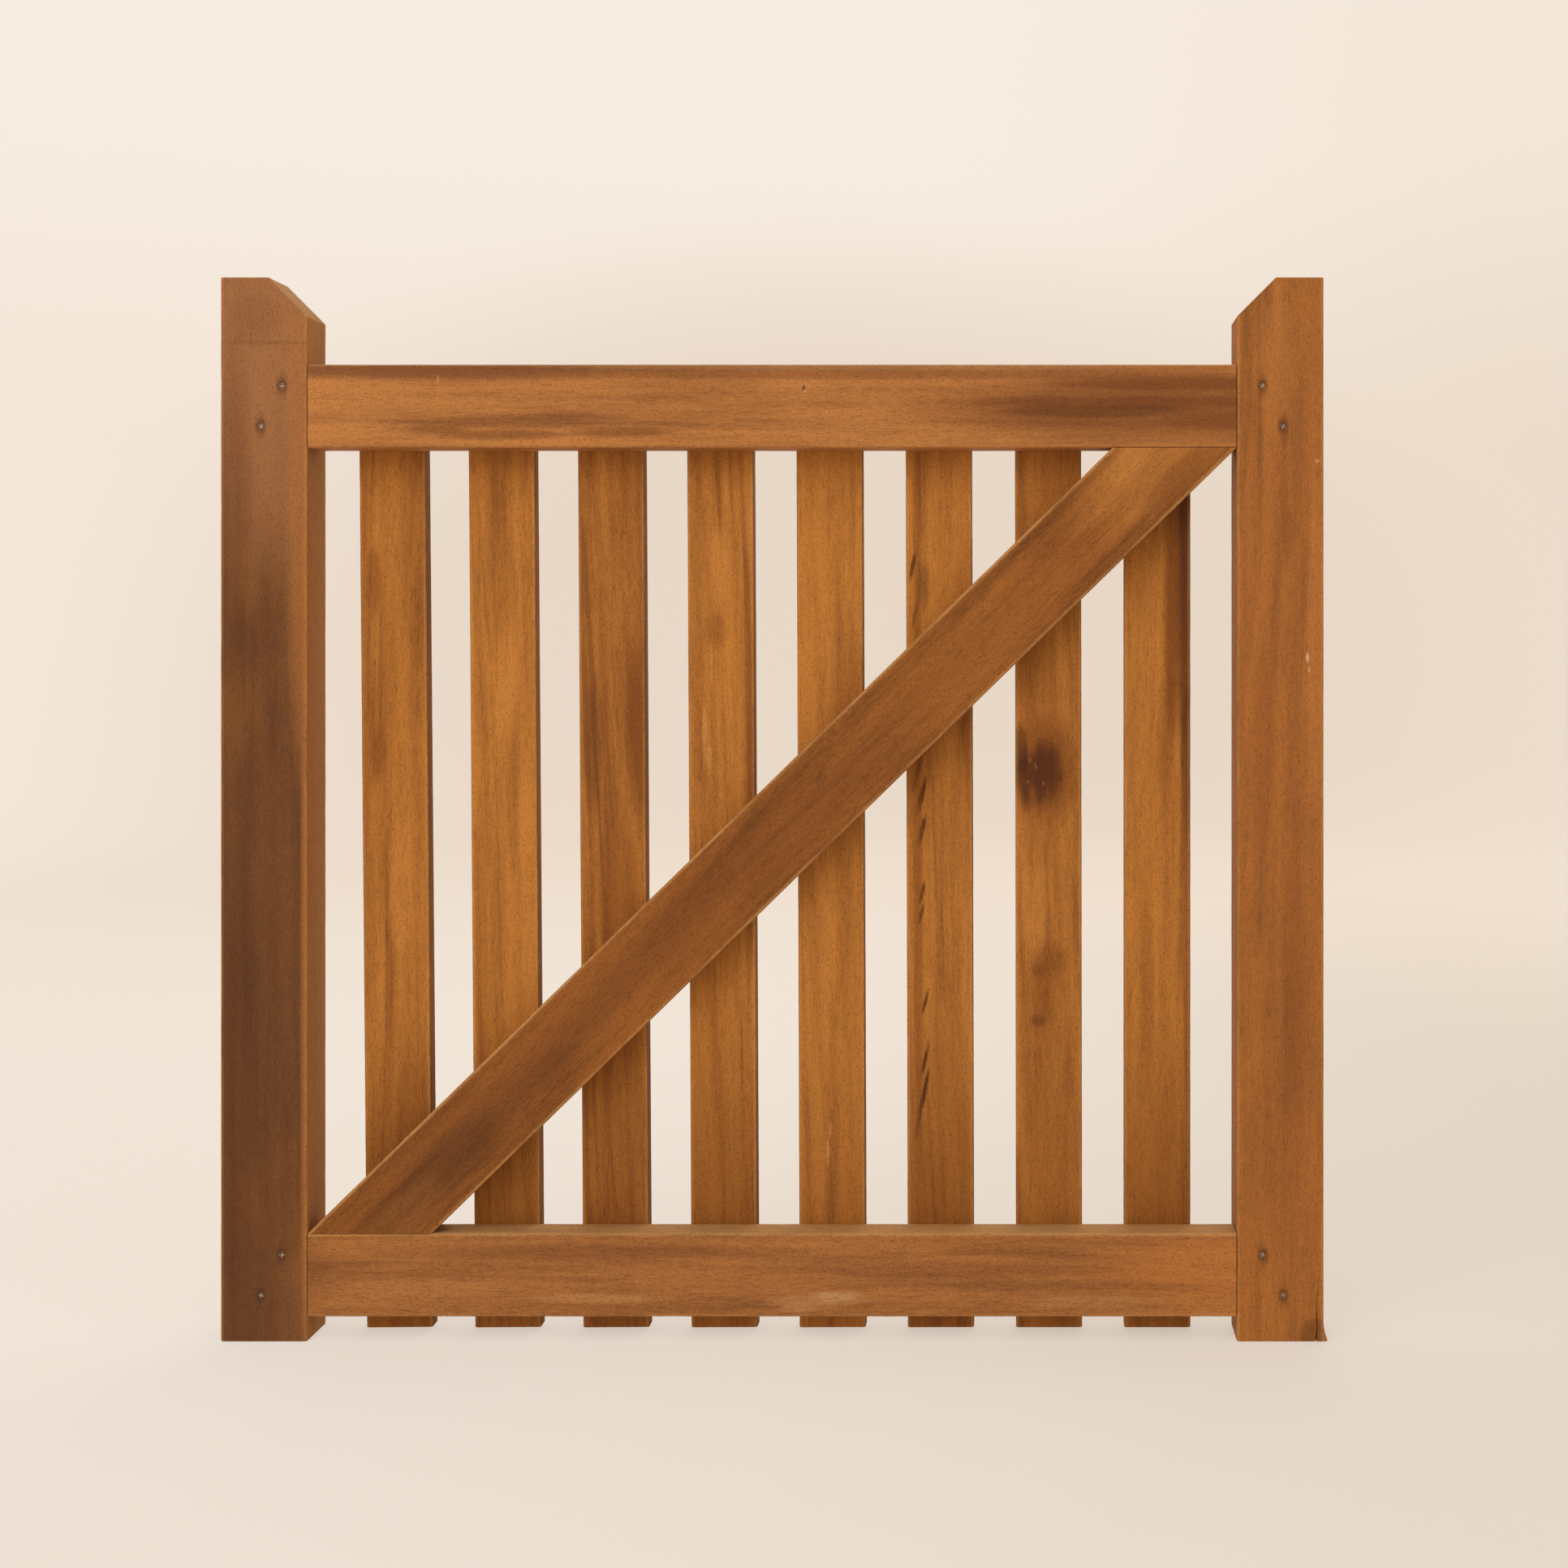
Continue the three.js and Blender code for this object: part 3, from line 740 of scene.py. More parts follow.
def crack_cutter(board):
    """A thin wedge that opens at the foot: a kite whose width shrinks and which wanders as it climbs."""
    t = np.linspace(-0.02, 1, 14)
    opening = CRACK_WIDTH * np.clip(1 - t, 0.04, None)
    drift = board.width / 2 - CRACK_INSET + 0.0022 * t + 0.0006 * np.sin(9 * t)
    kite = np.array([(-0.5, 0.0), (0.0, -0.5), (0.5, 0.0), (0.0, 0.5)])
    reach = 0.028 * np.clip(1.15 - t, 0.1, None)
    x = drift[:, None] + kite[None, :, 0] * opening[:, None]
    y = -board.depth / 2 + kite[None, :, 1] * reach[:, None]
    z = np.broadcast_to((t * CRACK_HEIGHT - board.length / 2)[:, None], x.shape)
    return mesh_from_rings("crack", board.to_world(np.stack([x, y, z], -1)))


def star_rings(radius, root, settings, heights, ease, turn):
    """A star carried along Y: its radius is root + (radius - root) (0.5 + 0.5 cos(arms t))^1.7, less ease."""
    t = np.arange(settings.dowel_sides) * FULL_TURN / settings.dowel_sides
    reach = root + (radius - root) * (0.5 + 0.5 * np.cos(settings.dowel_arms * t)) ** 1.7
    size = (reach[None, :] - np.array(ease)[:, None]).clip(0.0002)
    x, z = size * np.cos(t + turn), size * np.sin(t + turn)
    return np.stack([x, np.broadcast_to(np.array(heights)[:, None], x.shape), z], -1)


def dowel_turn(node):
    """How far a dowel happens to be turned about its own axis: a seeded angle for each one."""
    seed = SEEDS["dowels"] + nodes_named("dowel_").index(node)
    return np.random.default_rng(seed).uniform(0, QUARTER_TURN)


def dowel_bores(dowels, settings, seed):
    """Cutters for some dowels: a star that follows the dowel's arms, and a shallow dish at its mouth."""
    rng = np.random.default_rng(seed)
    gap = settings.clearance
    cutters = []
    for node in dowels:
        _, high, axis = axis_of(node)
        star = star_rings(settings.dowel_radius + gap, settings.dowel_root + gap, settings,
                          [FRONT - 0.001, high[1] + gap], [0.0, 0.0], dowel_turn(node))
        cutters.append(mesh_from_rings("bore", star + axis))
        mouth = settings.bruise * rng.uniform(0.9, 1.1)
        radii = [mouth * 1.03, mouth, mouth * 0.72, mouth * 0.4, 0.0006]
        heights = [FRONT - 0.001, FRONT, FRONT + 0.0004, FRONT + 0.0007, FRONT + 0.0008]
        cutters.append(turned_mesh("dish", radii, heights, axis, DISH_SIDES, squash=rng.uniform(1.1, 1.4)))
    return cutters


def tenon_span(rail, settings):
    """The across and through limits of a rail's tenon, in the rail's own frame."""
    back = LEDGE_BACK - rail.centre[1]
    side = rail.width / 2 - settings.tenon_edge
    return (-side, back - settings.tenon_thickness), (side, back)


def mortise_cutters(side, settings):
    """Cutters for the two mortises of the stile at one side, each its tenon grown by the gap."""
    gap = settings.gap
    cutters = []
    for rail in (level_board("top_rail"), level_board("bottom_rail")):
        (x0, y0), (x1, y1) = tenon_span(rail, settings)
        start, end = sorted((side * (OPENING_SIDE - 0.001), side * (rail.length / 2 + 0.002)))
        low, high = (x0 - gap, y0 - gap, start), (x1 + gap, y1 + gap, end)
        cutters.append(block_mesh("mortise", rail, low, high))
    return cutters


def make_stile(node, inner, marks, light, dark, grain, cracked=False, side_shading=None):
    """A stile: a rounded rectangle carried upright, sloped at its head, mortised and bored.

    inner is the side that faces the opening: 1 towards +X, -1 towards -X.
    """
    scene = bpy.context.scene
    seed = SEEDS[node]
    timber, fasteners = scene.gate_timber, scene.gate_fasteners
    board = upright_board(node)
    w, d, crease = board.width / 2, board.depth / 2, inner * (board.width / 2 - timber.horn_bevel)
    corners = [(-w, -d), (crease, -d), (w, -d), (w, d), (crease, d), (-w, d)]
    radii = [timber.arris, 0, timber.arris, timber.arris, 0, timber.arris]
    outline = rounded_outline(corners, radii)
    rings = board_rings(board, outline, timber, seed, timber.end_easing)
    rings = stile_horn(rings, board, inner, timber.horn_bevel)
    if cracked:
        rings = split_foot(rings, board, -inner)
    creased = np.flatnonzero(np.isclose(outline[:, 0], crease))
    piece = new_object(mesh_from_rings(f"{node}_timber", board.to_world(rings), split=creased))
    dowels = nodes_named("dowel_" + node.split("_")[0])
    combine(piece, mortise_cutters(-inner, timber), "DIFFERENCE")
    combine(piece, dowel_bores(dowels, fasteners, seed), "DIFFERENCE")
    if cracked:
        combine(piece, [crack_cutter(board)], "DIFFERENCE")
    material = wood_finish(f"oiled_{node}", board, light, dark, grain, [*marks, *dowel_halos(board, dowels)],
                           scene.gate_finish.roughness, side_shading)
    finish_piece(piece, material, f"{node}_timber", node)


def dowel_halos(board, dowels):
    """A dark bruise drawn out along the grain round each dowel."""
    halos = []
    for node in dowels:
        low, high = box_of(node)
        x, _, z = board.to_board((low + high) / 2)
        along, across = z / (board.length / 2), x / (board.width / 2)
        halos += marks_from((along, across, 0.0130, 0.0055, "5e3a24", 0.30, 0.35, True),
                            (along, across, 0.0070, 0.0046, "4a3020", 0.50, 0.25, True))
    return halos


class GATE_OT_make_stiles(bpy.types.Operator):
    """Make the hinge stile and the latch stile"""

    bl_idname = "gate.make_stiles"
    bl_label = "Make Stiles"

    def execute(self, context):
        finish = context.scene.gate_finish
        # The hinge stile's inner side towards +X is painted lighter than its front: painted light.
        make_stile("hinge_stile", 1, HINGE_MARKS, finish.hinge_light, finish.hinge_dark,
                   Grain(1.0, heart=(-0.02, 0.16), ring=0.0040, figure=0.9, contrast=0.9), side_shading="a06b34")
        make_stile("latch_stile", -1, LATCH_MARKS, finish.latch_light, finish.latch_dark,
                   Grain(2.0, heart=(0.03, 0.13), drift=0.05, ring=0.0042, figure=0.9, contrast=0.95),
                   cracked=True)
        return {"FINISHED"}


# ---- rails


TOP_RAIL_MARKS = marks_from(
    (0.78, -0.02, 0.22, 0.031, "6d3d21", 0.66, 0.3),
    (0.66, -0.1, 0.15, 0.006, "6b3c20", 0.6, 0.45),
    (0.05, -0.93, 0.46, 0.0045, "7e4a2c", 0.45, 0.3),
    (0.8, -0.55, 0.12, 0.007, "6b3c20", 0.55, 0.5),
    (0.62, 0.12, 0.09, 0.006, "5e3721", 0.6, 0.5),
    (0.86, 0.35, 0.06, 0.008, "6b3c20", 0.45, 0.5),
    (0.3, -0.75, 0.3, 0.0045, "84502d", 0.55, 0.45),
    (-0.62, -0.86, 0.19, 0.0095, "73462b", 0.8, 0.3),
    (-0.52, 0.7, 0.05, 0.0045, UMBER, 0.5, 0.4),
    (-0.64, 0.55, 0.03, 0.0045, UMBER, 0.45, 0.4),
    (-0.28, 0.62, 0.038, 0.0045, UMBER, 0.45, 0.4),
    (-0.72, -0.05, 0.12, 0.008, "c07f44", 0.3, 0.6),
    (-0.8, 0.3, 0.06, 0.006, "c4834a", 0.35, 0.5),
    (0.14, -0.93, 0.26, 0.003, "a07a55", 0.35, 0.4),
    (0.06, -0.43, 0.0016, 0.0026, SOOT, 0.8, 0.2),
    (0.062, -0.37, 0.001, 0.0014, "d09a62", 0.7, 0.2),
    (-0.99, -0.85, 0.01, 0.004, "d8c0a0", 0.35, 0.4),
    (-0.635, -0.65, 0.0012, 0.0035, "d09a62", 0.45, 0.3),
)
BOTTOM_RAIL_MARKS = marks_from(
    (0.09, 0.62, 0.05, 0.0062, "cb9762", 0.42, 0.5),
    (0.12, 0.5, 0.026, 0.0045, "d8ac7c", 0.38, 0.5),
    (0.05, 0.8, 0.02, 0.0042, "cb9762", 0.3, 0.5),
    (-0.32, 0.55, 0.06, 0.0042, "c18c5a", 0.35, 0.35),
    (0.62, 0.62, 0.07, 0.006, "c58f58", 0.3, 0.4),
    (0.85, -0.1, 0.11, 0.034, "bd7538", 0.5, 0.4),
    (-0.93, 0.0, 0.05, 0.03, "7a4c2d", 0.45, 0.4),
    (-0.4, -0.55, 0.16, 0.008, "84502d", 0.4, 0.6),
    (0.28, -0.15, 0.17, 0.007, "84502d", 0.4, 0.6),
    (-0.68, 0.3, 0.07, 0.008, "bd8048", 0.3, 0.5),
    (0.45, -0.6, 0.06, 0.005, UMBER, 0.3, 0.6),
)


def make_rail(node, rebated, marks, grain):
    """A rail: its outline carried between the shoulders, with a tenon at each end, and bored for dowels."""
    scene = bpy.context.scene
    timber, fasteners, finish = scene.gate_timber, scene.gate_fasteners, scene.gate_finish
    board, seed = level_board(node), SEEDS[node]
    w, d, r = board.width / 2, board.depth / 2, timber.arris
    if rebated:
        step = LEDGE_BACK - board.centre[1]
        head = box_of(PALE_NODES[0])[1][2] + timber.pale_head_clearance
        notch = board.centre[2] - head
        corners = [(-w, -d), (w, -d), (w, step), (notch, step), (notch, d), (-w, d)]
        outline = rounded_outline(corners, [r, r, r / 2, r / 4, r / 2, r])
    else:
        outline = plain_section(board, r)
    shoulder = OPENING_SIDE - timber.gap
    rings = board_rings(board, outline, timber, seed, timber.end_easing / 3, (-shoulder, shoulder))
    piece = new_object(mesh_from_rings(f"{node}_timber", board.to_world(rings)))
    low, high = tenon_span(board, timber)
    inset = timber.end_easing
    tip, root = board.length / 2, shoulder - 0.02
    tenons = [block_mesh("tenon", board, (low[0], low[1] + inset, start), (high[0], high[1] - inset, end))
              for start, end in ((-tip, -root), (root, tip))]
    combine(piece, tenons, "UNION")
    word = node.split("_")[0]
    dowels = [name for name in nodes_named("dowel_") if f"_{word}_" in name]
    combine(piece, dowel_bores(dowels, fasteners, seed), "DIFFERENCE")
    material = wood_finish(f"oiled_{node}", board, finish.rail_light, finish.rail_dark, grain, marks,
                           finish.roughness)
    finish_piece(piece, material, "rail_timber", node)


class GATE_OT_make_rails(bpy.types.Operator):
    """Make the top rail and the bottom rail"""

    bl_idname = "gate.make_rails"
    bl_label = "Make Rails"

    def execute(self, context):
        make_rail("top_rail", True, TOP_RAIL_MARKS,
                  Grain(3.0, heart=(-0.02, 0.09), drift=0.012, ring=0.0050, figure=1.1, contrast=1.0,
                        bias=-0.08, arris=0.08))
        make_rail("bottom_rail", False, BOTTOM_RAIL_MARKS,
                  Grain(4.0, heart=(0.05, 0.11), drift=0.01, ring=0.005, figure=0.9, contrast=0.75,
                        bias=0.24))
        return {"FINISHED"}


# ---- brace


BRACE_MARKS = marks_from(
    (1.0, -0.2, 0.095, 0.045, "b97a3c", 0.52, 0.35),
    (0.93, -0.55, 0.03, 0.012, "c58742", 0.3, 0.5),
    (0.97, 0.62, 0.04, 0.014, "74431f", 0.5, 0.5),
    (-0.02, 0.05, 0.3, 0.024, "6f4022", 0.3, 0.6),
    (-0.55, -0.1, 0.22, 0.02, "6a3f24", 0.35, 0.6),
    (0.14, -0.25, 0.006, 0.0042, SOOT, 0.3, 0.5),
    (0.44, 0.1, 0.13, 0.028, "a0652f", 0.35, 0.5),
    (-0.8, 0.1, 0.05, 0.02, "5c3a22", 0.35, 0.45),
    (-0.93, 0.3, 0.04, 0.02, "9c6636", 0.3, 0.5),
)


class GATE_OT_make_brace(bpy.types.Operator):
    """Make the diagonal brace"""

    bl_idname = "gate.make_brace"
    bl_label = "Make Brace"

    def execute(self, context):
        timber, finish = context.scene.gate_timber, context.scene.gate_finish
        board = corner_to_corner_board("brace", timber.brace_width)
        # The brace is wedged in, so its ends almost touch the rails.
        reach = board.length / 2 + 0.8 * timber.gap / math.cos(board.tilt)
        rings = board_rings(board, plain_section(board, timber.arris), timber, SEEDS["brace"],
                            timber.end_easing / 8, (-reach, reach))
        # Both ends are cut level, so the whole board is sheared along its own length.
        rings[..., 2] += rings[..., 0] * math.tan(board.tilt)
        piece = new_object(mesh_from_rings("brace_timber", board.to_world(rings)))
        bores = nail_bores(nodes_named("nail_brace"), context.scene.gate_fasteners)
        combine(piece, bores, "DIFFERENCE")
        # Its arrises are brightened strongly: partly rubbed wear, partly a painted highlight where the edges
        # catch the light.
        grain = Grain(5.0, heart=(0.01, 0.2), drift=0.004, ring=0.0036, figure=0.9, contrast=1.1, arris=0.55)
        material = wood_finish("oiled_brace", board, finish.brace_light, finish.brace_dark, grain,
                               BRACE_MARKS, finish.roughness)
        finish_piece(piece, material, "brace_timber", "brace")
        return {"FINISHED"}


# ---- pales


KNOT, STAIN, SCRATCH, HONEY = "4a2a1c", "7a451f", "c98e50", "c98540"
FLECKS = [(along, across, length, width, "3f2415", strength, 0.45, True, 0.22)
          for along, across, length, width, strength in (
              (0.66, -0.8, 0.015, 0.0022, 0.8), (0.555, -0.72, 0.014, 0.0018, 0.5),
              (0.223, -0.62, 0.02, 0.0026, 0.55), (0.162, -0.53, 0.017, 0.0026, 0.85),
              (0.083, -0.53, 0.014, 0.0024, 0.85), (-0.052, -0.53, 0.011, 0.0019, 0.85),
              (-0.1, -0.57, 0.01, 0.0018, 0.75), (-0.292, -0.45, 0.011, 0.0018, 0.8),
              (-0.415, -0.45, 0.014, 0.0019, 0.85), (-0.494, -0.5, 0.023, 0.0022, 0.9),
              (-0.555, -0.66, 0.014, 0.002, 0.5))]
SPECKLES = [(along, across, 0.0018, 0.0011, SCRATCH, 0.24, 0.5) for along, across in (
    (0.237, -0.55), (0.226, -0.4), (0.221, -0.36), (0.19, -0.62), (0.186, -0.15))]

# The marks of each pale, from the hinge side to the latch side, after the darkening at its foot, which is
# partly stain and partly painted shade.
PALE_MARKS = (
    ((0.62, -0.55, 0.03, 0.007, STAIN, 0.5, 0.6), (0.25, -0.5, 0.028, 0.008, STAIN, 0.5, 0.6),
     (-0.05, 0.1, 0.06, 0.012, HONEY, 0.35, 0.6), (0.45, -0.9, 0.2, 0.006, STAIN, 0.35, 0.5)),
    ((0.16, 0.3, 0.07, 0.006, STAIN, 0.35, 0.7), (0.4, 0.1, 0.05, 0.012, HONEY, 0.35, 0.6),
     (0.12, 0.55, 0.04, 0.01, HONEY, 0.35, 0.6), (-0.25, -0.7, 0.16, 0.006, STAIN, 0.3, 0.6)),
    ((0.27, -0.55, 0.06, 0.009, KNOT, 0.4, 0.6), (0.3, 0.65, 0.07, 0.009, STAIN, 0.6, 0.6),
     (0.02, 0.0, 0.07, 0.014, STAIN, 0.4, 0.6), (-0.15, 0.5, 0.1, 0.008, STAIN, 0.4, 0.6)),
    ((0.3, -0.5, 0.026, 0.0022, SCRATCH, 0.55, 0.5), (0.24, -0.38, 0.014, 0.003, SCRATCH, 0.5, 0.5),
     (0.45, -0.3, 0.02, 0.0012, SCRATCH, 0.45, 0.3), (0.66, 0.0, 0.04, 0.008, HONEY, 0.5, 0.5),
     (0.52, -0.2, 0.016, 0.01, STAIN, 0.35, 0.6)),
    ((-0.62, -0.12, 0.012, 0.0018, SCRATCH, 0.55, 0.4), (-0.57, -0.05, 0.007, 0.0012, SCRATCH, 0.45, 0.3),
     (0.3, 0.3, 0.09, 0.01, STAIN, 0.25, 0.6), (-0.1, -0.2, 0.12, 0.01, HONEY, 0.35, 0.6)),
    (*FLECKS, (0.15, -0.66, 0.42, 0.0042, STAIN, 0.55, 0.5), (0.62, -0.5, 0.022, 0.006, KNOT, 0.45, 0.6)),
    ((0.215, -0.1, 0.046, 0.034, STAIN, 0.75, 0.4), (0.205, -0.34, 0.027, 0.02, KNOT, 0.7, 0.8),
     (0.225, -0.22, 0.022, 0.016, KNOT, 0.45, 0.8), *SPECKLES,
     (0.262, -0.8, 0.022, 0.006, KNOT, 0.55, 0.5), (0.15, -0.62, 0.012, 0.006, KNOT, 0.45, 0.5),
     (-0.2, 0.0, 0.018, 0.016, STAIN, 0.6, 0.4), (-0.22, -0.35, 0.007, 0.006, KNOT, 0.4, 0.4),
     (-0.33, -0.3, 0.006, 0.008, KNOT, 0.5, 0.45), (-0.1, -0.3, 0.05, 0.014, HONEY, 0.4, 0.6),
     (-0.27, -0.2, 0.04, 0.012, STAIN, 0.4, 0.6)),
    ((0.7, 0.85, 0.2, 0.009, KNOT, 0.85, 0.4), (0.58, 0.45, 0.12, 0.0075, STAIN, 0.85, 0.45),
     (0.3, 0.25, 0.06, 0.008, STAIN, 0.35, 0.6), (-0.1, 0.95, 0.35, 0.0052, STAIN, 0.6, 0.5),
     (0.22, 0.88, 0.07, 0.006, KNOT, 0.45, 0.5), (-0.3, -0.3, 0.1, 0.006, STAIN, 0.3, 0.6)),
)
FOOT_STAIN_AND_SHADE = (0.5, 0.5, 0.28, 0.5, 0.28, 0.5, 0.28, 0.5)
PALE_BIASES = (0.0, -0.06, 0.30, 0.0, -0.06, 0.04, 0.10, 0.06)


def nail_bores(nails, settings):
    """Cutters for nails driven from the back: a shank bore with a wider seat for the head."""
    gap = settings.clearance
    cutters = []
    for node in nails:
        low, high, axis = axis_of(node)
        head, shank = (high[0] - low[0]) / 2 + gap, settings.nail_shank + gap
        seat = high[1] - settings.head_height - gap
        radii = [shank, shank, head, head, head * 1.25]
        heights = [low[1] - gap, seat, seat + 0.0004, BACK - 0.0003, BACK + 0.001]
        cutters.append(turned_mesh("nail_bore", radii, heights, axis, settings.nail_sides))
    return cutters


class GATE_OT_make_pales(bpy.types.Operator):
    """Make the upright boards"""

    bl_idname = "gate.make_pales"
    bl_label = "Make Pales"

    def execute(self, context):
        timber, finish = context.scene.gate_timber, context.scene.gate_finish
        rng = np.random.default_rng(SEEDS["pale_grain"])
        hearts = rng.uniform(-0.035, 0.035, len(PALE_NODES))
        for index, node in enumerate(PALE_NODES):
            board = leaning_board(node, timber.pale_width)
            outline = plain_section(board, timber.pale_arris)
            rings = board_rings(board, outline, timber, SEEDS["pales"] + index, timber.end_easing)
            piece = new_object(mesh_from_rings(f"{node}_timber", board.to_world(rings)))
            nails = [name for name in nodes_named("nail_") if name.split("_")[2] == str(index + 1)]
            combine(piece, nail_bores(nails, context.scene.gate_fasteners), "DIFFERENCE")
            grain = Grain(6.0 + 1.7 * index, heart=(hearts[index], rng.uniform(0.03, 0.07)),
                          drift=rng.uniform(-0.05, 0.05), ring=rng.uniform(0.0035, 0.006),
                          figure=rng.uniform(1.3, 1.8), contrast=rng.uniform(0.75, 0.9),
                          bias=PALE_BIASES[index])
            # Darker towards the foot of each pale: partly a stain and partly painted shade low down by the
            # bottom rail.
            foot = (-0.97, 0.0, 0.230, 0.060, "74431d", FOOT_STAIN_AND_SHADE[index], 0.3)
            marks = marks_from(foot, *PALE_MARKS[index])
            # The pales' sides towards +X are painted darker: painted shade.
            material = wood_finish(f"oiled_{node}", board, finish.pale_light, finish.pale_dark, grain, marks,
                                   finish.roughness, side_shading="6e4522")
            finish_piece(piece, material, "pale_timber", node)
        return {"FINISHED"}


# ---- fasteners


class GATE_OT_make_dowels(bpy.types.Operator):
    """Make the star-section dowels"""

    bl_idname = "gate.make_dowels"
    bl_label = "Make Dowels"

    def execute(self, context):
        settings, finish = context.scene.gate_fasteners, context.scene.gate_finish
        material = metal_finish("dull_aluminium", finish.dowel, 0.5, "6d5a48")
        for node in nodes_named("dowel_"):
            low, high, axis = axis_of(node)
            heights = [low[1], low[1] + 0.00015, low[1] + 0.0005, high[1] - 0.001, high[1]]
            rings = star_rings(settings.dowel_radius, settings.dowel_root, settings, heights,
                               [0.0004, 0.0001, 0.0, 0.0, 0.0003], dowel_turn(node))
            piece = new_object(mesh_from_rings(f"star_{node}", rings + axis))
            finish_piece(piece, material, "star_dowel", node)
        return {"FINISHED"}


class GATE_OT_make_nails(bpy.types.Operator):
    """Make the lost-head nails"""

    bl_idname = "gate.make_nails"
    bl_label = "Make Nails"

    def execute(self, context):
        settings, finish = context.scene.gate_fasteners, context.scene.gate_finish
        material = metal_finish("dull_steel", finish.nail, 0.45, "5c4a3c")
        for node in nodes_named("nail_"):
            low, high, axis = axis_of(node)
            head, shank = (high[0] - low[0]) / 2, settings.nail_shank
            under = high[1] - settings.head_height
            radii = [0.0002, shank, shank, head, head, head * 0.85, head * 0.45]
            heights = [low[1], low[1] + settings.point_height, under, under + settings.head_height / 2,
                       high[1] - 0.0003, high[1] - 0.0001, high[1]]
            piece = new_object(turned_mesh(f"lost_head_{node}", radii, heights, axis, settings.nail_sides))
            finish_piece(piece, material, "nail_steel", node)
        return {"FINISHED"}


# ---- stage


GATE_MIDDLE = (0.0, 0.0, 0.45)
KEY_PLACE, KEY_SIZE = (-1.2, -3.0, 3.2), 3.2
BACK_PLACE, BACK_SIZE = (0.8, 3.2, 2.8), 2.6
LAMP_COLOUR, SKY_COLOUR = (1.0, 0.98, 0.96), (1.0, 0.985, 0.965, 1.0)
SENSOR_WIDTH = 36.0


def backdrop_finish(settings):
    """A plain pale backdrop that glows like a lit cloth, so that its floor and its wall look alike.

    The near floor glows less than the wall, because it catches more light. The wall glows a little more
    higher up, and everything glows a little less towards +X. Behind the gate, low down on the floor and the
    wall, a soft patch glows less: a painted shadow of the gate.
    """
    shader = Shader("pale_backdrop")
    x, y, z = shader.parts(shader.node("TexCoord").outputs["Object"])

    def tinted(*share):
        return tuple(c * s for c, s in zip(settings.backdrop, share))

    far = (x * x + y * y).root().between(1.2, 4.2).greatest(z.between(0.0, 1.2))
    near_glow = shader.mix(x.between(-0.3, 1.0), tinted(0.64, 0.625, 0.61), tinted(0.54, 0.50, 0.455))
    wall_glow = shader.mix(x.between(-0.3, 2.2), tinted(0.72, 0.705, 0.69), tinted(0.655, 0.61, 0.565))
    high_glow = shader.mix(x.between(-0.3, 2.2), tinted(0.765, 0.765, 0.77), tinted(0.72, 0.71, 0.69))
    glow = shader.mix(far, near_glow, shader.mix(z.between(1.2, 2.5), wall_glow, high_glow))
    # A soft patch behind the gate, on the floor and the low wall, glows less: a painted shadow of the gate.
    across, up = (x + 0.5) / 2.3, (z - 0.6) / 1.5
    painted_gate_shadow = (across * across + up * up).between(1.3, 0.2) * y.between(1.0, 3.5) * 0.6
    glow = shader.mix(painted_gate_shadow, glow, tinted(0.56, 0.49, 0.43))
    return shader.surface(tinted(0.27, 0.27, 0.27), 0.9, Specular_IOR_Level=0.0,
                          Emission_Color=glow, Emission_Strength=1.0)


def backdrop_mesh(radius, wall_height, bend=1.6, floor_rows=24, bend_rows=16, wall_rows=5, around=96):
    """A floor that turns up into a round wall: a line, a quarter circle and a line, turned about Z."""
    flat = np.linspace(0.02, radius - bend, floor_rows)
    t = np.linspace(0, QUARTER_TURN, bend_rows + 1)[1:]
    up = np.linspace(bend, wall_height, wall_rows + 1)[1:]
    r = np.concatenate([flat, radius - bend + bend * np.sin(t), np.full(wall_rows, radius)])
    z = np.concatenate([np.zeros(floor_rows), bend - bend * np.cos(t), up])
    turn = np.arange(around) * FULL_TURN / around
    points = np.stack([r[:, None] * np.cos(turn), r[:, None] * np.sin(turn),
                       np.broadcast_to(z[:, None], (len(z), around))], -1)
    facing_in = ring_quads(points)[:, [0, 3, 2, 1]]
    mesh = bpy.data.meshes.new("backdrop")
    mesh.from_pydata(points.reshape(-1, 3).tolist(), [], facing_in.tolist() + [list(range(around))])
    mesh.shade_smooth()
    return mesh


def soft_light(name, place, size, power):
    """A square area light at a place, facing the gate's middle."""
    data = bpy.data.lights.new(name, "AREA")
    data.size, data.energy, data.color = size, power, LAMP_COLOUR
    lamp = bpy.data.objects.new(name, data)
    bpy.context.scene.collection.objects.link(lamp)
    lamp.location = place
    facing = Vector(GATE_MIDDLE) - Vector(place)
    lamp.rotation_euler = facing.to_track_quat("-Z", "Y").to_euler()


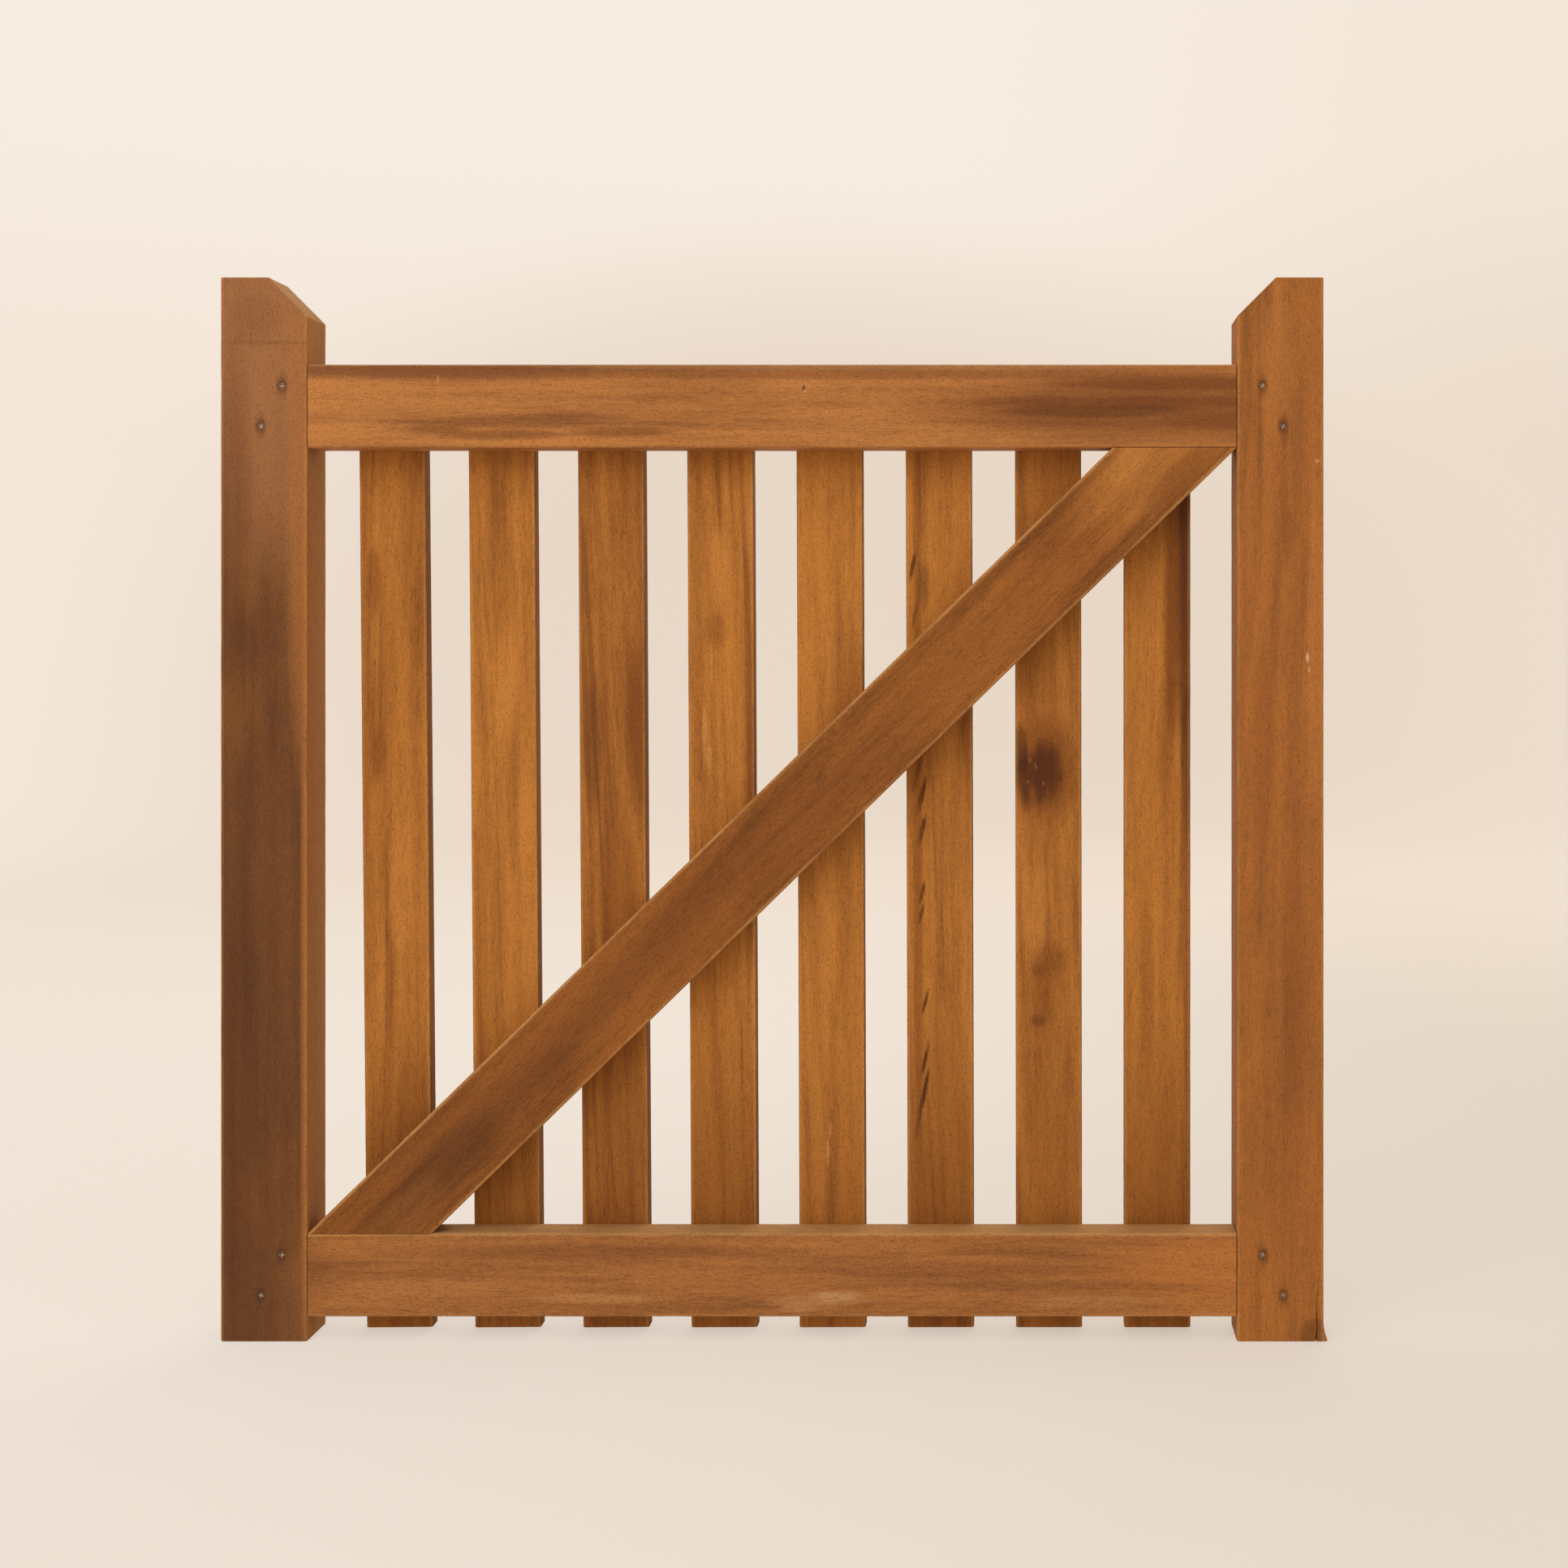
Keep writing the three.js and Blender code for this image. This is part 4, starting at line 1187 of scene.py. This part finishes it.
class GATE_OT_make_stage(bpy.types.Operator):
    """Make the floor, the lights and the camera"""

    bl_idname = "gate.make_stage"
    bl_label = "Make Stage"

    def execute(self, context):
        scene, settings = context.scene, context.scene.gate_stage
        floor = new_object(backdrop_mesh(settings.radius, settings.wall_height))
        floor.data.materials.append(backdrop_finish(settings))
        floor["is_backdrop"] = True
        soft_light("key", KEY_PLACE, KEY_SIZE, settings.key_power)
        soft_light("back", BACK_PLACE, BACK_SIZE, settings.fill_power)
        world = bpy.data.worlds.new("even_light")
        world.use_nodes = True
        background = world.node_tree.nodes["Background"]
        background.inputs["Color"].default_value = SKY_COLOUR
        background.inputs["Strength"].default_value = settings.sky
        scene.world = world
        scene.view_settings.view_transform = "Standard"
        data = bpy.data.cameras.new("camera")
        data.sensor_width, data.lens = SENSOR_WIDTH, settings.lens
        data.shift_x, data.shift_y = settings.shift_x, settings.shift_y
        camera = bpy.data.objects.new("camera", data)
        scene.collection.objects.link(camera)
        camera.location = (settings.camera_side, FRONT - settings.distance, settings.camera_height)
        camera.rotation_euler = (QUARTER_TURN, 0.0, 0.0)
        scene.camera = camera
        return {"FINISHED"}


# ---- add-on


SETTINGS = {"gate_timber": GateTimberSettings, "gate_finish": GateFinishSettings,
            "gate_fasteners": GateFastenerSettings, "gate_stage": GateStageSettings}
OPERATORS = (GATE_OT_make_stage, GATE_OT_make_stiles, GATE_OT_make_rails, GATE_OT_make_brace,
             GATE_OT_make_pales, GATE_OT_make_dowels, GATE_OT_make_nails)


class GATE_PT_panel(bpy.types.Panel):
    """Lists the gate's pieces and their settings"""

    bl_idname = "GATE_PT_panel"
    bl_label = "Garden Gate Leaf"
    bl_space_type = "VIEW_3D"
    bl_region_type = "UI"
    bl_category = "Gate"

    def draw(self, context):
        for operator in OPERATORS:
            self.layout.operator(operator.bl_idname)
        for key, group in SETTINGS.items():
            box = self.layout.box()
            for name in group.__annotations__:
                box.prop(getattr(context.scene, key), name)


CLASSES = (*SETTINGS.values(), *OPERATORS, GATE_PT_panel)


def register():
    for item in CLASSES:
        bpy.utils.register_class(item)
    for key, group in SETTINGS.items():
        setattr(bpy.types.Scene, key, PointerProperty(type=group))


def unregister():
    for key in SETTINGS:
        delattr(bpy.types.Scene, key)
    for item in reversed(CLASSES):
        bpy.utils.unregister_class(item)


def main():
    """Registers the add-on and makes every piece."""
    register()
    for operator in OPERATORS:
        group, name = operator.bl_idname.split(".")
        getattr(getattr(bpy.ops, group), name)()


if __name__ == "__main__":
    main()
